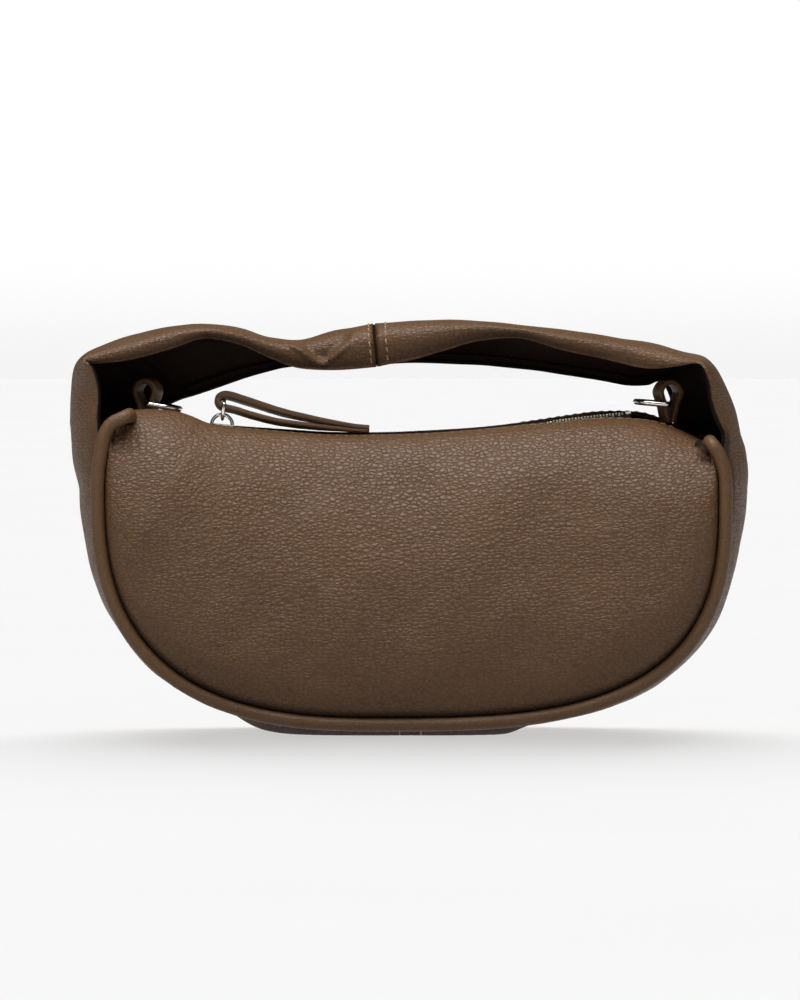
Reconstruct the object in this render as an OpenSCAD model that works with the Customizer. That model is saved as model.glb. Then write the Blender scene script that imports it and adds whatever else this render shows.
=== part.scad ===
// Small half-moon leather bag with a soft top handle.
// Millimetres. +X is to the right of the front, +Y goes from the front to the back, +Z is up.
// The origin lies on the ground under the middle of the bag.
// One long strip of leather makes the gusset and the handle: a left and a right half, butted at
// the bottom and at the top of the handle. Two domed panels close the sides, with a corded piping
// along each seam. The zip sags between the panels along the arc of a large circle.

/* [Body] */
// Width of the body between the two piping cords
body_w = 239.6; // [200:1:300]
// Distance between the front and the back piping cord
body_d = 68; // [50:1:90]
// Height of the widest place of the body
widest_z = 95; // [80:1:115]
// Height of the lowest point of the piping cord above the ground
cord_low_z = 5.2; // [4.5:0.1:8]
// Height at which the left piping ends
left_corner_z = 118.5; // [116:0.5:122]
// Height at which the right piping ends
right_corner_z = 111.5; // [108:0.5:115]
// How far the upper end of the piping leans inwards
corner_lean = 5; // [2:0.5:8]
// How far each panel domes out between its top shelf and its piping
dome_depth = 15.8; // [8:0.2:20]
// How far the gusset swells out beyond the piping at the sides
gusset_swell = 8.6; // [4:0.2:12]
// Length of the flat the bag stands on
foot_l = 84; // [50:1:110]

/* [Leather] */
// Thickness of a panel
panel_t = 1.5; // [1:0.1:2]
// Thickness of the long strip
strip_t = 1.6; // [1:0.1:2.2]
// Thickness of the thin leather that lines the handle
facing_t = 0.9; // [0.6:0.1:1.4]
// Thickness of the fabric lining
lining_t = 0.6; // [0.3:0.1:1]
// Width of the patch behind each butt joint of the strip
patch_w = 16; // [10:1:24]
// Thickness of that patch
patch_t = 1; // [0.6:0.1:1.4]
// Gap between the two butted ends of the strip
butt_gap = 0.4; // [0.2:0.1:1]

/* [Piping] */
// Outer diameter of the piping
piping_d = 5.3; // [4:0.1:6.5]
// Diameter of the filler cord inside the piping
filler_d = 3.2; // [2:0.1:3.6]
// How far each end of the piping runs back over the corner
piping_return = 1; // [0.5:0.5:2]

/* [Handle] */
// Rise of the handle's highest point above the lowest point of the zip
handle_rise = 46.3; // [40:0.1:66]
// Place of the butt joint at the top of the handle, right of the bag's middle
handle_joint_x = -11.4; // [-20:0.2:-6]

/* [Zip] */
// Radius of the sagging line of the zip
zip_arc_r = 555; // [450:5:900]
// Place of the lowest point of the zip, right of the bag's middle
zip_low_x = -15.5; // [-25:0.5:0]
// Height of the lowest point of the zip
zip_low_z = 113.7; // [112:0.1:114.5]
// Distance from the right end of the chain to the right side of the body
chain_right_inset = 37.2; // [35:0.1:42]
// Distance from one tooth to the next on one tape
tooth_pitch = 2.4; // [2:0.1:3]
// Height of a tooth
tooth_h = 2.2; // [1.8:0.1:2.6]
// Width of one tape
tape_w = 13; // [11:0.5:15]
// Thickness of the tape
tape_t = 0.6; // [0.4:0.1:0.8]
// Half the width of the slot between the two panels over the chain
slot_half = 5.6; // [5.2:0.1:6.5]
// Width of the flat shelf of each panel beside that slot
shelf_w = 9.5; // [7:0.5:12]

/* [Slider and puller] */
// Length of the slider
slider_l = 9.2; // [8:0.2:11]
// Width of the slider at its broad end
slider_w = 8.8; // [7.6:0.2:9.6]
// Thickness of each of the slider's two plates
slider_plate_t = 1.1; // [0.8:0.1:1.4]
// Distance from the closed slider to the left side of the body
slider_inset = 46.4; // [45:0.1:52]
// Height of the slider's arched bridge
bridge_h = 4.7; // [4.4:0.1:5.5]
// Wire diameter of the bridge and of the link
link_wire_d = 1.4; // [1:0.1:1.6]
// Height of the link from wire to wire
link_h = 6.9; // [6.6:0.1:8]
// Width of the leather puller
puller_w = 6.6; // [5:0.1:6.8]
// Thickness of one strand of the puller
strand_t = 2.7; // [2:0.1:3]
// Length of the puller from the link to its tip
puller_l = 57; // [40:1:60]

/* [Strap rings] */
// Wire diameter of a strap ring
ring_wire_d = 2.3; // [1.8:0.1:2.6]
// Outer width of a strap ring along its straight bar
ring_w = 16.6; // [14:0.2:19]
// Depth of a strap ring from its bar to its tip
ring_depth = 14.8; // [14.6:0.2:16]
// Thickness of the leather loop that holds a ring
loop_t = 2.4; // [1.8:0.1:3]
// Width of that loop
loop_w = 7; // [5:0.2:7]
// Height of that loop above the top of the bag
loop_h = 16.4; // [14:0.2:19]
// Distance from each loop to the side of the body
loop_inset = 19.4; // [17.4:0.2:22]
// How far the left ring droops below the level
left_ring_droop = 10; // [0:1:12]
// How far the right ring tips up from the level
right_ring_rise = 5; // [2:1:14]

/* [Hidden] */

leather = [0.33, 0.22, 0.16];
edge_leather = [0.27, 0.18, 0.13];
fabric = [0.42, 0.36, 0.31];
tape_brown = [0.24, 0.17, 0.13];
nickel = [0.8, 0.8, 0.82];
natural = [0.86, 0.84, 0.78];

// Clearances
seat_gap = 0.2;
running_gap = 0.3;
layer_gap = 0.6;
overrun = 1;
fine = 48;
arc_fine = 360;

// Counts that set how fine the faceted skins are
outline_stations = 32;
cord_sides = 8;
gusset_stations = 20;
shoulder_stations = 9;
handle_stations = 14;
facing_stations = 12;
patch_stations = 4;
end_stations = 6;

// Shape of the outline: where it is lowest, and how square its two lower corners are
low_share = 0.453;
square_left_share = 2.65;
square_right_share = 3.0;
lean_power_share = 2.4;
top_left_turn_share = 0.06;
top_right_turn_share = 0.955;

// Centre the outline so that the whole bag is centred
outline_shift = 1.4;
left_x = -body_w / 2 + outline_shift;
right_x = body_w / 2 + outline_shift;
low_x = left_x + body_w * low_share;
chain_right_x = right_x - chain_right_inset;
slider_x = left_x + slider_inset;
loop_x = body_w / 2 - loop_inset;
half_d = body_d / 2;
piping_r = piping_d / 2;
seat_r = piping_r + seat_gap;
left_swell_share = 0.85;
low_swell_share = 0.45;
swell_growth_share = 1.5;
foot_swell = cord_low_z + strip_t;
foot_run_out_share = 0.35;

function lerp(a, b, t) = a + (b - a) * t;
function unit(v) = v / max(norm(v), 1e-9);
function clamp(v, a, b) = min(max(v, a), b);

// A smooth curve through a table of [place, value, value ...] rows
function find_row(t, rows, i = 0) = i >= len(rows) - 2 || t < rows[i + 1][0] ? i : find_row(t, rows, i + 1);
function slope_at(rows, i) =
    let (a = rows[max(i - 1, 0)], b = rows[min(i + 1, len(rows) - 1)])
    (b - a) / max(b[0] - a[0], 1e-9);
function smooth_row(t, rows) =
    let (
        i = find_row(t, rows),
        a = rows[i],
        b = rows[i + 1],
        span = b[0] - a[0],
        u = clamp((t - a[0]) / span, 0, 1),
        ma = slope_at(rows, i) * span,
        mb = slope_at(rows, i + 1) * span
    )
    a * (2 * u * u * u - 3 * u * u + 1) + ma * (u * u * u - 2 * u * u + u)
    + b * (3 * u * u - 2 * u * u * u) + mb * (u * u * u - u * u);

// The line of the piping cord as seen from the front, for u from 0 (upper left end) over the
// bottom to 1 (upper right end). The lower part is a quarter of a superellipse on each side.
function quarter(angle, reach, drop, power) =
    let (c = abs(cos(angle)) / reach, s = abs(sin(angle)) / drop)
    pow(pow(c, power) + pow(s, power), -1 / power);
function lower_point(angle) =
    let (
        is_left = angle < 270,
        reach = is_left ? low_x - left_x : right_x - low_x,
        r = quarter(angle, reach, widest_z - cord_low_z, is_left ? square_left_share : square_right_share)
    )
    [low_x + r * cos(angle), widest_z + r * sin(angle)];
function leaning(x_side, sign, top_z, t) =
    [x_side + sign * corner_lean * pow(t, lean_power_share), lerp(widest_z, top_z, t)];
function outline(u) =
    u < top_left_turn_share
    ? leaning(left_x, 1, left_corner_z, 1 - u / top_left_turn_share)
    : u > top_right_turn_share
    ? leaning(right_x, -1, right_corner_z, (u - top_right_turn_share) / (1 - top_right_turn_share))
    : lower_point(lerp(180, 360, (u - top_left_turn_share) / (top_right_turn_share - top_left_turn_share)));

// Outward direction of that line, square to it
probe = 0.004;
function outward(u) =
    let (d = unit(outline(min(u + probe, 1)) - outline(max(u - probe, 0))))
    [d[1], -d[0]];
function outline_out(u, distance) = outline(u) + outward(u) * distance;

// The zip follows the arc of a circle whose centre is far above the bag
zip_centre_z = zip_low_z + zip_arc_r;
function chain_z(x) = zip_centre_z - sqrt(zip_arc_r * zip_arc_r - pow(x - zip_low_x, 2));
function arc_angle(x) = asin((x - zip_low_x) / zip_arc_r);
module on_zip(x) {
    translate([zip_low_x, 0, zip_centre_z])
        rotate([0, -arc_angle(x), 0])
            translate([0, 0, -zip_arc_r])
                children();
}

// Upper line of the panels beside the zip. Right of the chain it curves down to the corner.
shelf_rise = tape_t / 2 + seat_gap + panel_t;
shelf_left_x = left_x + corner_lean + seat_r;
shelf_right_x = right_x - corner_lean - seat_r;
tape_right_over = 2;
tape_right_x = chain_right_x + tape_right_over;
fall_offset = 1.5;
fall_x = tape_right_x + fall_offset;
right_fall = chain_z(fall_x) - right_corner_z - piping_r;
fall_power_share = 1.4;
function fallen(x) = pow((x - fall_x) / (shelf_right_x - fall_x), fall_power_share);
function tape_z(x) = x <= fall_x ? chain_z(x) : chain_z(fall_x) - right_fall * fallen(x);

// Leather and fabric as sheets: two grids of points, the outer face and the inner face
function cell(grid, i, j) = grid[clamp(i, 0, len(grid) - 1)][clamp(j, 0, len(grid[0]) - 1)];
function grid_normal(grid, i, j) =
    unit(cross(cell(grid, i + 1, j) - cell(grid, i - 1, j), cell(grid, i, j + 1) - cell(grid, i, j - 1)));
function inwards(grid, t) = [
    for (i = [0:len(grid) - 1]) [
        for (j = [0:len(grid[0]) - 1]) grid[i][j] + t * grid_normal(grid, i, j)
    ]
];
function flat_list(grid) = [for (column = grid) for (p = column) p];

module sheet(outer, inner) {
    rows = len(outer[0]);
    columns = len(outer);
    count = rows * columns;
    rim = concat(
        [for (i = [0:columns - 1]) i * rows],
        [for (j = [1:rows - 1]) (columns - 1) * rows + j],
        [for (i = [columns - 2:-1:0]) i * rows + rows - 1],
        [for (j = [rows - 2:-1:1]) j]
    );
    faces = concat(
        [for (i = [0:columns - 2]) for (j = [0:rows - 2]) let (a = i * rows + j)
            each [[a, a + rows, a + rows + 1], [a, a + rows + 1, a + 1]]],
        [for (i = [0:columns - 2]) for (j = [0:rows - 2]) let (a = count + i * rows + j)
            each [[a, a + rows + 1, a + rows], [a, a + 1, a + rows + 1]]],
        [for (k = [0:len(rim) - 1]) let (a = rim[k], b = rim[(k + 1) % len(rim)])
            each [[b, a, a + count], [b, a + count, b + count]]]
    );
    polyhedron(concat(flat_list(outer), flat_list(inner)), faces);
}

// A hollow tube: a row of outer rings round a row of inner rings, open at both ends
module hollow_tube(outer, inner) {
    sides = len(outer[0]);
    rings = len(outer);
    count = sides * rings;
    function at(i, k) = i * sides + k % sides;
    faces = concat(
        [for (i = [0:rings - 2]) for (k = [0:sides - 1])
            each [[at(i, k), at(i + 1, k), at(i + 1, k + 1)], [at(i, k), at(i + 1, k + 1), at(i, k + 1)]]],
        [for (i = [0:rings - 2]) for (k = [0:sides - 1])
            each [[count + at(i, k), count + at(i + 1, k + 1), count + at(i + 1, k)],
                  [count + at(i, k), count + at(i, k + 1), count + at(i + 1, k + 1)]]],
        [for (k = [0:sides - 1])
            each [[at(0, k), at(0, k + 1), count + at(0, k + 1)],
                  [at(0, k), count + at(0, k + 1), count + at(0, k)]]],
        [for (k = [0:sides - 1]) let (i = rings - 1)
            each [[at(i, k), count + at(i, k), count + at(i, k + 1)],
                  [at(i, k), count + at(i, k + 1), at(i, k + 1)]]]
    );
    polyhedron(concat(flat_list(outer), flat_list(inner)), faces);
}

// A solid rod: a row of rings closed by a flat face at each end
module rod(rings) {
    sides = len(rings[0]);
    last = (len(rings) - 1) * sides;
    function at(i, k) = i * sides + k % sides;
    faces = concat(
        [for (i = [0:len(rings) - 2]) for (k = [0:sides - 1])
            each [[at(i, k), at(i + 1, k), at(i + 1, k + 1)], [at(i, k), at(i + 1, k + 1), at(i, k + 1)]]],
        [[for (k = [0:sides - 1]) k]],
        [[for (k = [sides - 1:-1:0]) last + k]]
    );
    polyhedron(flat_list(rings), faces);
}

// Front panel: columns fan out from the zip to the piping, rows run alongside the zip
edge_y = half_d + piping_r / 4;
shelf_y = slot_half + shelf_w;
dome_power_share = 2.2;
dome_round_share = 0.6;
short_column = 70;
short_power_share = 0.9;
panel_from_share = 0.01;
panel_to_share = 0.985;
shelf_row_shares = [0, 1];
dome_row_shares = [0.03, 0.09, 0.18, 0.3, 0.45, 0.6, 0.74, 0.86, 0.94, 0.985, 1];

function bulge(q) = pow(1 - pow(abs(2 * q - 1), dome_power_share), dome_round_share);
function shelf_point(s, w) =
    let (x = lerp(shelf_left_x, shelf_right_x, s))
    [x, -lerp(slot_half, shelf_y, w), tape_z(x) + shelf_rise];
function dome_point(s, q) =
    let (
        top = shelf_point(s, 1),
        low = outline_out(lerp(panel_from_share, panel_to_share, s), -seat_r),
        reach = norm([top[0] - low[0], top[2] - low[1]]),
        depth = dome_depth * pow(min(reach / short_column, 1), short_power_share)
    )
    [lerp(top[0], low[0], q), -(lerp(shelf_y, edge_y, q) + depth * bulge(q)), lerp(top[2], low[1], q)];
function panel_grid(columns) = [
    for (i = [0:columns])
        let (s = i / columns)
        concat([for (w = shelf_row_shares) shelf_point(s, w)], [for (q = dome_row_shares) dome_point(s, q)])
];

module panel() {
    skin = panel_grid(outline_stations);
    sheet(skin, inwards(skin, panel_t));
}
module front_panel() {
    color(leather) panel();
}
module back_panel() {
    color(leather) mirror([0, 1, 0]) panel();
}

// Lining of each panel, hanging from the zip tape's outer edge
lining_slack = 0.5;
lining_columns = 18;
lining_skip_rows = 1;
module panel_lining() {
    skin = inwards(panel_grid(lining_columns), panel_t + lining_slack);
    hung = [for (column = skin) [for (j = [lining_skip_rows:len(column) - 1 - lining_skip_rows]) column[j]]];
    sheet(hung, inwards(hung, lining_t));
}
module lining_front() {
    color(fabric) panel_lining();
}
module lining_back() {
    color(fabric) mirror([0, 1, 0]) panel_lining();
}

// The long strip between the pipings. Its section swells outwards between the two seams.
gusset_edge_y = half_d - seat_r;
across_shares = [-1, -0.86, -0.62, -0.32, 0, 0.32, 0.62, 0.86, 1];
swell_power_share = 2.2;
butt_offset = 11;
butt_x = low_x + butt_offset;
function foot_window(x) =
    let (t = clamp((abs(x - low_x) - foot_l / 2) / (foot_l * foot_run_out_share), 0, 1))
    1 - t * t * (3 - 2 * t);
function swell_at(u) =
    let (
        p = outline(u),
        side = clamp((p[1] - cord_low_z) / (widest_z - cord_low_z), 0, 1),
        full = gusset_swell * (p[0] > low_x ? 1 : left_swell_share)
    )
    max(full * lerp(low_swell_share, 1, pow(side, swell_growth_share)), foot_swell * foot_window(p[0]));
function strip_point(u, w, inset) =
    let (
        swell = swell_at(u) * (1 - pow(abs(w), swell_power_share)),
        p = outline_out(u, swell + strip_t / 2 - inset)
    )
    [p[0], w * gusset_edge_y, max(p[1], inset)];
function strip_grid(u_from, u_to, stations, inset, w_share = 1) = [
    for (i = [0:stations])
        let (u = lerp(u_from, u_to, i / stations))
        [for (w = across_shares) strip_point(u, w * w_share, inset)]
];

// Where the butt joint at the bottom cuts the outline, found by halving
function find_u(x, a, b, n) =
    let (m = (a + b) / 2)
    n == 0 ? m : outline(m)[0] < x ? find_u(x, m, b, n - 1) : find_u(x, a, m, n - 1);
halvings = 14;
search_share = 0.3;
function bottom_u(x) = find_u(x, 0.5 - search_share, 0.5 + search_share, halvings);
gusset_top_left_share = 0.45;
gusset_top_right_share = 0.35;
u_butt_left = bottom_u(butt_x - butt_gap / 2);
u_butt_right = bottom_u(butt_x + butt_gap / 2);
u_top_left = top_left_turn_share * gusset_top_left_share;
u_top_right = lerp(1, top_right_turn_share, gusset_top_right_share);

module gusset_left() {
    color(leather)
        sheet(strip_grid(u_top_left, u_butt_left, gusset_stations, 0),
              strip_grid(u_top_left, u_butt_left, gusset_stations, strip_t));
}
module gusset_right() {
    color(leather)
        sheet(strip_grid(u_butt_right, u_top_right, gusset_stations, 0),
              strip_grid(u_butt_right, u_top_right, gusset_stations, strip_t));
}

// Patch inside the butt joint at the bottom, and the lining of the gusset
patch_w_share = 0.9;
module base_joint_patch() {
    u_from = bottom_u(butt_x - patch_w / 2);
    u_to = bottom_u(butt_x + patch_w / 2);
    near = strip_t + seat_gap;
    color(edge_leather)
        sheet(strip_grid(u_from, u_to, patch_stations, near, patch_w_share),
              strip_grid(u_from, u_to, patch_stations, near + patch_t, patch_w_share));
}
lining_w_share = 0.93;
lining_stations = 26;
module lining_gusset() {
    near = strip_t + patch_t + 2 * seat_gap;
    color(fabric)
        sheet(strip_grid(u_top_left, u_top_right, lining_stations, near, lining_w_share),
              strip_grid(u_top_left, u_top_right, lining_stations, near + lining_t, lining_w_share));
}

// Above the body the strip becomes the shoulders and the handle. Each row of these tables is one
// section: place along the strip, then the front edge (x, y, z), the crown (x, z), the rear edge
// (x, y, z) and how round the section is. Shares of half the body's width, of half its depth, and
// of the height from the widest place to the top of the handle.
joint_share = (handle_joint_x - outline_shift) / (body_w / 2);
left_strap_shares = [
    [0.10, -1.002, 0.915, 0.40, -1.100, 0.38, -1.002, 0.89, 0.37, 1.0],
    [0.20, -1.000, 0.93, 0.585, -1.093, 0.555, -0.985, 0.84, 0.46, 1.05],
    [0.30, -1.018, 0.91, 0.71, -1.080, 0.705, -0.88, 0.83, 0.50, 1.15],
    [0.37, -1.045, 0.82, 0.745, -1.045, 0.783, -0.80, 0.79, 0.505, 1.4],
    [0.43, -1.000, 0.74, 0.742, -0.985, 0.835, -0.745, 0.74, 0.52, 1.7],
    [0.53, -0.888, 0.65, 0.762, -0.88, 0.90, -0.68, 0.68, 0.555, 2],
    [0.63, -0.763, 0.59, 0.825, -0.763, 0.955, -0.595, 0.62, 0.61, 2],
    [0.71, -0.655, 0.56, 0.88, -0.655, 0.967, -0.53, 0.59, 0.65, 2],
    [0.78, -0.546, 0.53, 0.84, -0.546, 0.937, -0.465, 0.545, 0.682, 2],
    [0.85, -0.446, 0.50, 0.755, -0.446, 0.886, -0.41, 0.53, 0.70, 2],
    [0.91, -0.354, 0.515, 0.70, -0.354, 0.876, -0.35, 0.53, 0.708, 2],
    [0.96, -0.23, 0.53, 0.693, -0.23, 0.935, -0.23, 0.53, 0.71, 2],
    [1.00, joint_share, 0.53, 0.71, joint_share, 0.973, joint_share, 0.53, 0.72, 2]
];
right_strap_shares = [
    [0.00, joint_share, 0.53, 0.71, joint_share, 0.973, joint_share, 0.53, 0.72, 2],
    [0.05, 0.03, 0.53, 0.743, 0.03, 0.988, 0.03, 0.53, 0.74, 2],
    [0.12, 0.197, 0.53, 0.735, 0.197, 0.99, 0.197, 0.53, 0.723, 2],
    [0.19, 0.347, 0.53, 0.762, 0.347, 0.963, 0.347, 0.545, 0.70, 2],
    [0.27, 0.472, 0.53, 0.812, 0.472, 0.934, 0.472, 0.56, 0.672, 2],
    [0.35, 0.573, 0.545, 0.76, 0.598, 0.905, 0.59, 0.59, 0.64, 2],
    [0.43, 0.656, 0.56, 0.715, 0.727, 0.875, 0.69, 0.62, 0.618, 2],
    [0.50, 0.756, 0.62, 0.695, 0.806, 0.846, 0.765, 0.68, 0.63, 2],
    [0.57, 0.848, 0.735, 0.72, 0.881, 0.80, 0.815, 0.735, 0.646, 1.7],
    [0.64, 0.915, 0.85, 0.738, 0.948, 0.758, 0.856, 0.82, 0.608, 1.4],
    [0.74, 0.944, 0.88, 0.646, 0.998, 0.646, 0.92, 0.83, 0.508, 1.15],
    [0.86, 0.96, 0.85, 0.492, 1.04, 0.462, 0.98, 0.83, 0.40, 1.0],
    [0.94, 0.997, 0.865, 0.33, 1.058, 0.31, 1.002, 0.85, 0.30, 1.0]
];
left_split_share = 0.45;
right_split_share = 0.60;
split_gap_share = 0.003;

function strap_x(share) = outline_shift + share * body_w / 2;
handle_top_z = zip_low_z + handle_rise;
function strap_z(share) = lerp(widest_z, handle_top_z, share);
front_column = 1;
rear_column = 6;
function strap_point(row, w) =
    let (a = abs(w), k = w < 0 ? front_column : rear_column, bow = pow(a, swell_power_share))
    [
        lerp(strap_x(row[4]), strap_x(row[k]), bow),
        sign(w) * row[k + 1] * half_d * (1 - pow(1 - a, row[9])),
        lerp(strap_z(row[5]), strap_z(row[k + 2]), bow)
    ];
function strap_section(v, rows, w_share) =
    let (row = smooth_row(v, rows))
    [for (w = across_shares) strap_point(row, -w * w_share)];
function gusset_end(u, w_share) = [for (w = across_shares) strip_point(u, -w * w_share, 0)];
function left_section(v, w_share) =
    let (first = left_strap_shares[0][0], t = v / first)
    v >= first
    ? strap_section(v, left_strap_shares, w_share)
    : lerp(gusset_end(u_top_left, w_share), strap_section(first, left_strap_shares, w_share), t);
function right_section(v, w_share) =
    let (last = right_strap_shares[len(right_strap_shares) - 1][0], t = (v - last) / (1 - last))
    v <= last
    ? strap_section(v, right_strap_shares, w_share)
    : lerp(strap_section(last, right_strap_shares, w_share), gusset_end(u_top_right, w_share), t);
function left_strap(a, b, n, w_share = 1) = [for (i = [0:n]) left_section(lerp(a, b, i / n), w_share)];
function right_strap(a, b, n, w_share = 1) = [for (i = [0:n]) right_section(lerp(a, b, i / n), w_share)];

module strap(grid) {
    color(leather) sheet(grid, inwards(grid, strip_t));
}
module shoulder_left() {
    strap(left_strap(0, left_split_share - split_gap_share, shoulder_stations));
}
module shoulder_right() {
    strap(right_strap(right_split_share + split_gap_share, 1, shoulder_stations));
}
butt_gap_share = butt_gap / body_w;
module handle_left() {
    strap(left_strap(left_split_share + split_gap_share, 1 - butt_gap_share, handle_stations));
}
module handle_right() {
    strap(right_strap(butt_gap_share, right_split_share - split_gap_share, handle_stations));
}

// Thin leather inside the handle, and the patch behind its butt joint
facing_w_share = 0.92;
facing_end_share = 0.06;
joint_left_share = 0.966;
joint_right_share = 0.024;
joint_end_share = 0.02;
patch_end_stations = 2;
module facing(grid) {
    near = strip_t + layer_gap;
    color(edge_leather) sheet(inwards(grid, near), inwards(grid, near + facing_t));
}
module handle_facing_left() {
    facing(left_strap(left_split_share + facing_end_share, joint_left_share - joint_end_share,
                      facing_stations, facing_w_share));
}
module handle_facing_right() {
    facing(right_strap(joint_right_share + joint_end_share, right_split_share - facing_end_share,
                       facing_stations, facing_w_share));
}
module handle_joint_patch() {
    near = strip_t + layer_gap;
    grid = concat(left_strap(joint_left_share, 1 - butt_gap_share, patch_end_stations, patch_w_share),
                  right_strap(butt_gap_share, joint_right_share, patch_end_stations, patch_w_share));
    color(edge_leather) sheet(inwards(grid, near), inwards(grid, near + patch_t));
}

// Piping: a path of [point, outward direction, travel direction] along the outline. Each end turns
// back over the corner of the body.
turn_share = 1.3;
turn_r = piping_r * turn_share;
turn_steps = 3;
function upright(p, y) = [p[0], y, p[1]];
function turned(u, travel, theta, run) =
    let (p = outline(u), n = outward(u))
    [
        [p[0], -half_d + turn_r * (1 - cos(theta)) + run, p[1] + turn_r * sin(theta)],
        upright(n, 0),
        travel * [0, sin(theta), cos(theta)]
    ];
piping_path = concat(
    [turned(0, -1, 90, piping_return)],
    [for (k = [turn_steps:-1:1]) turned(0, -1, 90 * k / turn_steps, 0)],
    [for (i = [0:outline_stations])
        let (u = i / outline_stations, n = outward(u))
        [upright(outline(u), -half_d), upright(n, 0), [-n[1], 0, n[0]]]],
    [for (k = [1:turn_steps]) turned(1, 1, 90 * k / turn_steps, 0)],
    [turned(1, 1, 90, piping_return)]
);
function ring_round(station, r) = [
    for (k = [0:cord_sides - 1])
        let (a = 360 * (k + 0.5) / cord_sides, side = cross(station[2], station[1]))
        station[0] + r * (cos(a) * station[1] + sin(a) * side)
];
function rings_along(r) = [for (station = piping_path) ring_round(station, r)];
filler_slack = 0.1;
module piping() {
    color(leather) hollow_tube(rings_along(piping_r), rings_along(filler_d / 2 + filler_slack));
}
module filler() {
    color(natural) rod(rings_along(filler_d / 2));
}
module piping_front() {
    piping();
}
module piping_back() {
    mirror([0, 1, 0]) piping();
}
module filler_front() {
    filler();
}
module filler_back() {
    mirror([0, 1, 0]) filler();
}

// Zip tapes are strips of the arc. Teeth straddle their inner edges and mesh over the middle.
tape_inner_y = 1.3;
tape_left_over = 4;
tape_left_x = slider_x - slider_l / 2 - tape_left_over;
module arc_strip(x_from, x_to, y_from, y_to, t) {
    translate([zip_low_x, 0, zip_centre_z])
        rotate([90, 0, 0])
            rotate([0, 0, 270 + arc_angle(x_from)])
                rotate_extrude(angle = arc_angle(x_to) - arc_angle(x_from), $fn = arc_fine)
                    translate([zip_arc_r - t / 2, y_from])
                        square([t, y_to - y_from]);
}
module tape(side) {
    color(tape_brown)
        if (side < 0)
            arc_strip(tape_left_x, tape_right_x, tape_inner_y, tape_inner_y + tape_w, tape_t);
        else
            arc_strip(tape_left_x, tape_right_x, -tape_inner_y - tape_w, -tape_inner_y, tape_t);
}
module zip_tape_front() {
    tape(-1);
}
module zip_tape_back() {
    tape(1);
}

tooth_l_share = 0.4;
tooth_jaw = 1.7;
tooth_reach = 1.1;
jaw_gap = 0.05;
tooth_count = floor((chain_right_x - slider_x) / tooth_pitch);
module tooth(side) {
    t = tooth_pitch * tooth_l_share;
    back_y = side * (tape_inner_y + tooth_jaw);
    slot_h = tape_t / 2 + jaw_gap;
    rotate([90, 0, 90])
        translate([0, 0, -t / 2])
            linear_extrude(t)
                polygon([
                    [-side * tooth_reach, -tooth_h / 2],
                    [back_y, -tooth_h / 2],
                    [back_y, -slot_h],
                    [side * (tape_inner_y - jaw_gap), -slot_h],
                    [side * (tape_inner_y - jaw_gap), slot_h],
                    [back_y, slot_h],
                    [back_y, tooth_h / 2],
                    [-side * tooth_reach, tooth_h / 2]
                ]);
}
module teeth(side) {
    shift = side < 0 ? 0 : tooth_pitch / 2;
    color(nickel)
        for (k = [0:tooth_count - 1])
            on_zip(slider_x + shift + k * tooth_pitch) tooth(side);
}
module zip_teeth_front() {
    teeth(-1);
}
module zip_teeth_back() {
    teeth(1);
}

// Stops: a small clip on each tape beyond the slider, and a bar over both tapes at the right end
stop_l = 2;
stop_x = slider_x - slider_l / 2 - running_gap - stop_l / 2;
module clip(y_from, y_to, l) {
    rotate([90, 0, 90])
        translate([0, 0, -l / 2])
            linear_extrude(l)
                difference() {
                    translate([y_from, -tooth_h / 2]) square([y_to - y_from, tooth_h]);
                    translate([y_from - overrun, -tape_t / 2 - jaw_gap])
                        square([y_to - y_from + overrun - tape_t, tape_t + 2 * jaw_gap]);
                }
}
module zip_top_stops() {
    color(nickel)
        on_zip(stop_x) {
            clip(-tape_inner_y - tooth_jaw, -tape_inner_y + tape_t, stop_l);
            mirror([0, 1, 0]) clip(-tape_inner_y - tooth_jaw, -tape_inner_y + tape_t, stop_l);
        }
}
module zip_bottom_stop() {
    half_w = tape_inner_y + tooth_jaw;
    color(nickel)
        on_zip(chain_right_x + stop_l / 2)
            rotate([90, 0, 90])
                translate([0, 0, -stop_l / 2])
                    linear_extrude(stop_l)
                        difference() {
                            translate([-half_w, -tooth_h / 2]) square([2 * half_w, tooth_h]);
                            for (side = [0, 1])
                                mirror([side, 0])
                                    translate([tape_inner_y - jaw_gap, -tape_t / 2 - jaw_gap])
                                        square([half_w, tape_t + 2 * jaw_gap]);
                        }
}

// Leather ends that close the top between the zip and the strip, and carry the ring loops
end_overlap = 0.3;
end_half_w = tape_inner_y + tape_w;
function end_grid(x_from, x_to, rise) = [
    for (i = [0:end_stations])
        let (x = lerp(x_from, x_to, i / end_stations))
        [for (y = [end_half_w, -end_half_w]) [x, y, tape_z(x) + rise]]
];
module zip_end(x_from, x_to) {
    color(leather) sheet(end_grid(x_from, x_to, tape_t / 2), end_grid(x_from, x_to, -panel_t));
}
module zip_end_left() {
    zip_end(shelf_left_x - seat_r, tape_left_x - end_overlap);
}
module zip_end_right() {
    zip_end(tape_right_x + end_overlap, shelf_right_x + seat_r);
}

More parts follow.
